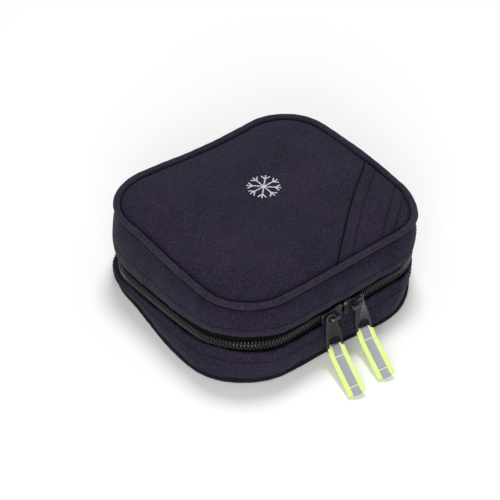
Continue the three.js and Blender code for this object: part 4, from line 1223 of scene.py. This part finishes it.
def pull_strip(bar_x, path, half_wide, thick, sides, rolled=0.0):
    """A flat oval carried along a path of distances and heights."""
    step, (far, up) = heading(path), path.T[..., None]
    across, above = flat_oval(sides, 0.35, rolled)
    above = above * thick / 2
    return pull_place(bar_x, far - step[:, 1:] * above, half_wide * across, up + step[:, :1] * above)


print(f"a pull comes down at {math.degrees(PULL_FALL):.0f} degrees")

# %% Webbing pulls
STRIP_HALF, STRIP_THICK, STRIP_OUT = 3.2, 0.4, PULL_THICK / 2 + 0.1
SEWN_FAR, SEWN_HALF = (8.3, 35.0), 4.2
outward = np.linspace(0.4, PULL_LONG, 60)
upper_layer = np.column_stack([outward, layer_height(outward)])
lower_layer = (upper_layer * (1, -1))[::-1]
hairpin = np.concatenate([lower_layer, arc((0, 0), LOOP_R, -90, -270, 21), upper_layer])
half_wide = (PULL_NECK + (PULL_WIDE - PULL_NECK) * smooth((hairpin[:, :1] - 0.1) / 1.1)) / 2
at_bar = arc((0, 0), LOOP_R + STRIP_OUT, 128, 90, 7)
at_end = arc((PULL_LONG, 0), LAYER + STRIP_OUT, 90, -70, 12)[1:]
strip_path = np.concatenate([at_bar, upper_layer + (0, STRIP_OUT), at_end])
for hand, bar_x in (("left", -17.15), ("right", 10.35)):
    body, grey = f"pull_tape_{hand}", f"reflective_strip_{hand}"
    bend = f"pull_tab_{hand}", *(tuple(pull_place(bar_x, far, 0.0, 0.0) * MM) for far in (0.8, 7.6))
    webbing = pull_strip(bar_x, hairpin, half_wide, PULL_THICK, 26, rolled=1.5)
    add(f"{body}_webbing", webbing, body, "webbing", webbing_weave, body, bend=bend)
    strip = pull_strip(bar_x, strip_path, STRIP_HALF, STRIP_THICK, 14)
    add(f"{grey}_tape", strip, body, "reflective", reflective_tape, grey, bend=bend)
    for k, far in enumerate(SEWN_FAR):
        line = np.linspace(-SEWN_HALF, SEWN_HALF, 30)
        path = pull_place(bar_x, far, line, layer_height(far) + PULL_THICK / 2 + 0.3)
        row = stitches(path, (0.0, 0.0, 1.0), long=1.8, gap=0.2, thick=0.36)
        add(f"pull_{hand}_stitches_{k}", row, body, "webbing", pull_thread)

# %% [markdown]
# ## Rims and foil lining
#
# Inside, the padded wall ends in a soft bound rim, and a foil tray covers wall and floor. The rim is a
# rounded profile carried once round, thinner beside the zip so that the sliders' back plates have room. The
# tray is a set of rings: up the outside, over the rim, down the inside and across the floor, with a round
# corner.

# %% Rims
def padded_rim(seat, step, wall):
    """A rim profile: a narrow rounded top beside the zip, a step, and the wider padded wall under it."""
    side = 1 if step > seat else -1
    narrow = arc((0, 0), 1.0, -side * 180, 0, 11) * (3.35, 2.2) + (-1.25, seat + side * 2.2)
    ledge, back = [(2.1, step), (6.4, step + side * 0.8)], [(-4.6, wall[-1][1]), (-4.6, step)]
    out, height = np.concatenate([narrow, ledge, wall, back]).T
    soft = 0.1 * wave(once_round[:, None], 29, height / 5) + 0.08 * wave(once_round[:, None], 53)
    return carried(once_round, out + soft, height)


base_rim = padded_rim(36.7, 24.4, [(6.5, 18.0), (5.6, 12.0), (4.0, 6.5)])
lid_rim = padded_rim(37.3, 49.6, [(5.6, 54.5), (3.4, 60.0), (-1.2, 66.5)])
for body, rim in (("base", base_rim), ("lid", lid_rim)):
    add(f"{body}_rim", rim, body, "trim", binding_cloth, f"{body}_wall_foam", f"{body}_rim_foam", ring=True)

# %% Foil lining
def foil_tray(rim, floor):
    """A tray from rings of distance, shrink and height: outside, rim, inside, rounded corner and floor."""
    side = 1 if rim > floor else -1
    outer = [(CORE, 0.04, 0), (CORE, 1, 0), (-10, 1, 0), (-6, 1, 2), (-4.75, 1, 6)]
    deep = abs(rim - floor)
    over_rim = [(-4.8, 1, deep), (-5.05, 1, deep + 0.25), (-5.3, 1, deep)]
    round_corner = [(-5.3, 1, 8), (-5.6, 1, 4.4), (-6.6, 1, 2.3), (-8.6, 1, 0.95), (-12, 1, 0.6)]
    inner = [(-24, 1, 0.6), (CORE, 1, 0.6), (CORE, 0.5, 0.6), (CORE, 0.04, 0.6)]
    plan, above = ringed(outer + over_rim + round_corner + inner)
    height = floor + side * above
    sunk = height - fall(*xy(plan), np.clip(above / deep, 0, 1) ** 2)
    return raised(bowed(raised(plan, height))[..., :2], sunk)


foil = {"ends": "point", "plan": True}
base_nodes = "base_liner", "base_floor_foam"
add("base_foil", foil_tray(36.2, 7.0), "base", "foil", lining_foil, *base_nodes, **foil)
add("lid_foil", foil_tray(37.8, 64.3), "lid", "foil", lining_foil, "lid_liner", **foil)

# %% [markdown]
# ## Pen card and elastic loops
#
# A stiff cloth-covered card lies in the base and carries two rows of elastic loops for pens. Each row is
# one strip of elastic that is sewn down between low arches, so it is one profile carried along a wavy path.

# %% Pen card
CARD_LOW, CARD_TOP = 7.9, 9.5
below = [(-20, 0.05, CARD_LOW), (-20, 1, CARD_LOW), (-14.0, 1, CARD_LOW)]
roll = [(-13.45, 1, 8.2), (-13.3, 1, 8.7), (-13.45, 1, 9.2), (-14.0, 1, CARD_TOP)]
above = [(-20, 1, CARD_TOP), (CORE, 1, CARD_TOP), (CORE, 0.5, CARD_TOP), (CORE, 0.05, CARD_TOP)]
card = bowed(raised(*ringed(below + roll + above)))
add("pen_card_cloth", card, "base", "lining_card", card_cloth, "pen_card", ends="point", plan=True)

# %% Pen loops
LOOP_HALF, LOOP_SEWN, LOOP_COUNT, LOOP_X, LOOP_Z, LOOP_HIGH = 62.7, 5.0, 5, 48.6, 10.3, 3.4
LOOP_WIDE, LOOP_THICK = 22.0, 1.0
pitch = (2 * LOOP_HALF - LOOP_SEWN) / LOOP_COUNT
y = np.linspace(-LOOP_HALF, LOOP_HALF, 320)
walked = y + LOOP_HALF - LOOP_SEWN
share = np.clip((walked % pitch) / (pitch - LOOP_SEWN), 0, 1) * (walked > 0)
z = LOOP_Z + LOOP_HIGH * (1 - np.abs(2 * share - 1) ** 3.4) * (y < LOOP_HALF - 0.2)
slope = heading(np.column_stack([y, z]))
wide, thick = flat_oval(16, 0.3)
across, above = wide * LOOP_WIDE / 2, thick * LOOP_THICK / 2
side_view = [y[:, None] - slope[:, 1:] * above, z[:, None] + slope[:, :1] * above]
for hand, middle_x in (("left", -LOOP_X), ("right", LOOP_X)):
    strip = np.stack(np.broadcast_arrays(middle_x + across, *side_view), -1)
    add(f"pen_loops_{hand}_elastic", strip, "base", "elastic", elastic_rib, f"pen_loops_{hand}")

# %% [markdown]
# ## Gel pack
#
# The cold comes from a gel pack under the lid. It is a pillow of film with a welded flange all round, made
# of rings that puff up towards the middle. The simulation then presses it out further while the flange is
# held.

# %% Gel pack
GEL_Z, GEL_PUFF = 57.9, 4.0
gel_plan, gel_knots = rounded_plan(66.0, 50.0, 14.0)
gel_walk = np.linspace(0, gel_knots[-1], 220, endpoint=False)
pillow = np.linspace(0.04, 0.9, 22)
share = np.concatenate([pillow, [0.925, 0.94, 0.97, 1.0]])
puff = np.concatenate([GEL_PUFF * (1 - pillow**3.2) ** 0.6, [1.0, 0.45, 0.4, 0.25]])
share, puff = np.append(share, share[::-1])[:, None], np.append(puff, -puff[::-1])[:, None]
plan = gel_plan(gel_walk[None], 0.0) * share[..., None]
lump = 1 + 0.08 * np.sin(plan[..., 0] / 13) * np.cos(plan[..., 1] / 11)
gel = sewn("gel_pack_film", raised(plan, GEL_Z + puff * np.minimum(lump, 1.03)), ends="point", plan=True)
flange = np.append(np.broadcast_to(share > 0.93, plan.shape[:2]).ravel(), [False, False])
gel.data.vertices.foreach_set("co", pressed(gel, flange, 0.02, 1.3).ravel() * MM)
gel.data.update()
dress(gel, "lid", "gel_film", gel_film, "gel_pack")

# %% [markdown]
# ## Net pocket
#
# A net holds the gel pack: two families of slanting cords inside an elastic frame, on a low gusset. A drawn
# net would need holes in a picture. Real cords are few enough to be ropes, each cut where it meets the
# frame.

# %% Net cords
NET_X, NET_Y, NET_Z, NET_PITCH, NET_WIRE = 67, 51, 51.7, 6.0, 0.4
offset = np.arange(-87, 88, NET_PITCH)[:, None]
limits = np.array([NET_X, NET_Y])
cords = []
for angle in (math.radians(40), math.radians(140)):
    ahead, foot = unit(angle), offset * unit(angle + math.pi / 2)
    ends = np.sort([(limit - foot) / ahead for limit in (-limits, limits)], axis=0)
    near, far = ends[0].max(1), ends[1].min(1)
    kept = far - near > 3
    t = near[kept, None] + (far - near)[kept, None] * np.linspace(0, 1, 24)
    cords.append(raised(foot[kept, None] + t[..., None] * ahead, NET_Z))
net = rope(np.concatenate(cords), NET_WIRE, (0.0, 0.0, 1.0), 6)
add("net_cords", net, "lid", "net", net_yarn, "net_panel")

# %% Net frame
net_plan, net_knots = rounded_plan(71.0, 55.0, 5.0)
net_walk = np.linspace(0, net_knots[-1], 240, endpoint=False)[:, None]
binding = np.array([(0, 51.4), (0, 52), (-1, 52.25), (-5, 52.2), (-5.6, 51.7), (-5, 51.25), (-1, 51.2)])
gusset = np.array([(0, 52.4), (0.1, 57.9), (0, 63.4), (-1.2, 63.4), (-1.1, 57.9), (-1.2, 52.4)])
binding, gusset = (raised(net_plan(net_walk, out), height) for out, height in (binding.T, gusset.T))
add("net_binding", binding, "lid", "elastic", elastic_rib, ring=True)
add("net_gusset_cloth", gusset, "lid", "net", binding_cloth, "net_gusset", ring=True)

# %% [markdown]
# ## Floor
#
# The photograph is a packshot: white all round, with a faint shadow under the case. A white floor keeps the
# shadow. Only camera rays see it a little brighter, so the background is white without more light on the
# case.

# %% Floor
FLOOR_HALF, FLOOR_Z, FLOOR_GLOW = 4000, -0.2, 0.1
side = np.linspace(-FLOOR_HALF, FLOOR_HALF, 3)
x, y = np.meshgrid(side, side, indexing="ij")
floor = sewn("floor", np.dstack([x, y, 0 * x + FLOOR_Z]), tube=False, ends="open", plan=True)
white = Finish("floor_white")
speck = white.noise(white.place, 3.0, 1.0)
camera_ray = white.node("ShaderNodeLightPath").outputs["Is Camera Ray"]
white.wire(
    Base_Color=white.mixed(speck, (0.9, 0.9, 0.9, 1.0), (0.92, 0.92, 0.92, 1.0)),
    Roughness=0.9,
    Specular_IOR_Level=0.0,
    Emission_Color=(1.0, 1.0, 1.0, 1.0),
    Emission_Strength=white.calc("MULTIPLY", camera_ray, FLOOR_GLOW),
)
floor.data.materials.append(white.material)
floor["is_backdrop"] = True
print(f"floor at {FLOOR_Z} mm")

# %% [markdown]
# ## Light
#
# Soft light comes from every side. A white world gives it, weaker than the white that the camera and
# mirrors see. A lamp from above sets the shadow, and a large one at the front left fills the walls.

# %% Light
WORLD_LIGHT, WORLD_SEEN = 0.4, 1.0
LAMPS = ("top_lamp", (0.35, 0.3, 1.6), 0.45, 13.5), ("front_fill", (-0.9, -1.0, 0.5), 1.0, 12.5)
world = bpy.data.worlds.new("white_studio")
scene.world = world
world.use_nodes = True
studio = Recipe(world.node_tree)
ray = studio.node("ShaderNodeLightPath").outputs
mirrored = studio.calc("MAXIMUM", ray["Is Glossy Ray"], ray["Is Transmission Ray"])
seen = studio.calc("MAXIMUM", ray["Is Camera Ray"], mirrored)
strength = studio.spread(seen, 0.0, 1.0, WORLD_LIGHT, WORLD_SEEN)
studio.fill(studio.tree.nodes["Background"], {"Color": (1.0, 1.0, 1.0, 1.0), "Strength": strength})
for name, place, wide, watts in LAMPS:
    lamp = bpy.data.lights.new(name, "AREA")
    lamp.shape, lamp.size, lamp.energy = "DISK", wide, watts
    soft_box = bpy.data.objects.new(name, lamp)
    soft_box.location = place
    soft_box.rotation_euler = (-Vector(place)).to_track_quat("-Z", "Y").to_euler()
    scene.collection.objects.link(soft_box)
print("world and", len(LAMPS), "soft lamps")

# %% [markdown]
# ## Size and finish
#
# The box round the dressed case, the floor left out, is printed in metres. The dressed case has to stay
# in the CAD model's box, apart from the little that cloth stands proud.

# %% Size and finish
low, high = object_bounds()
print("visual box in metres:", [round(v, 4) for v in low], [round(v, 4) for v in high])
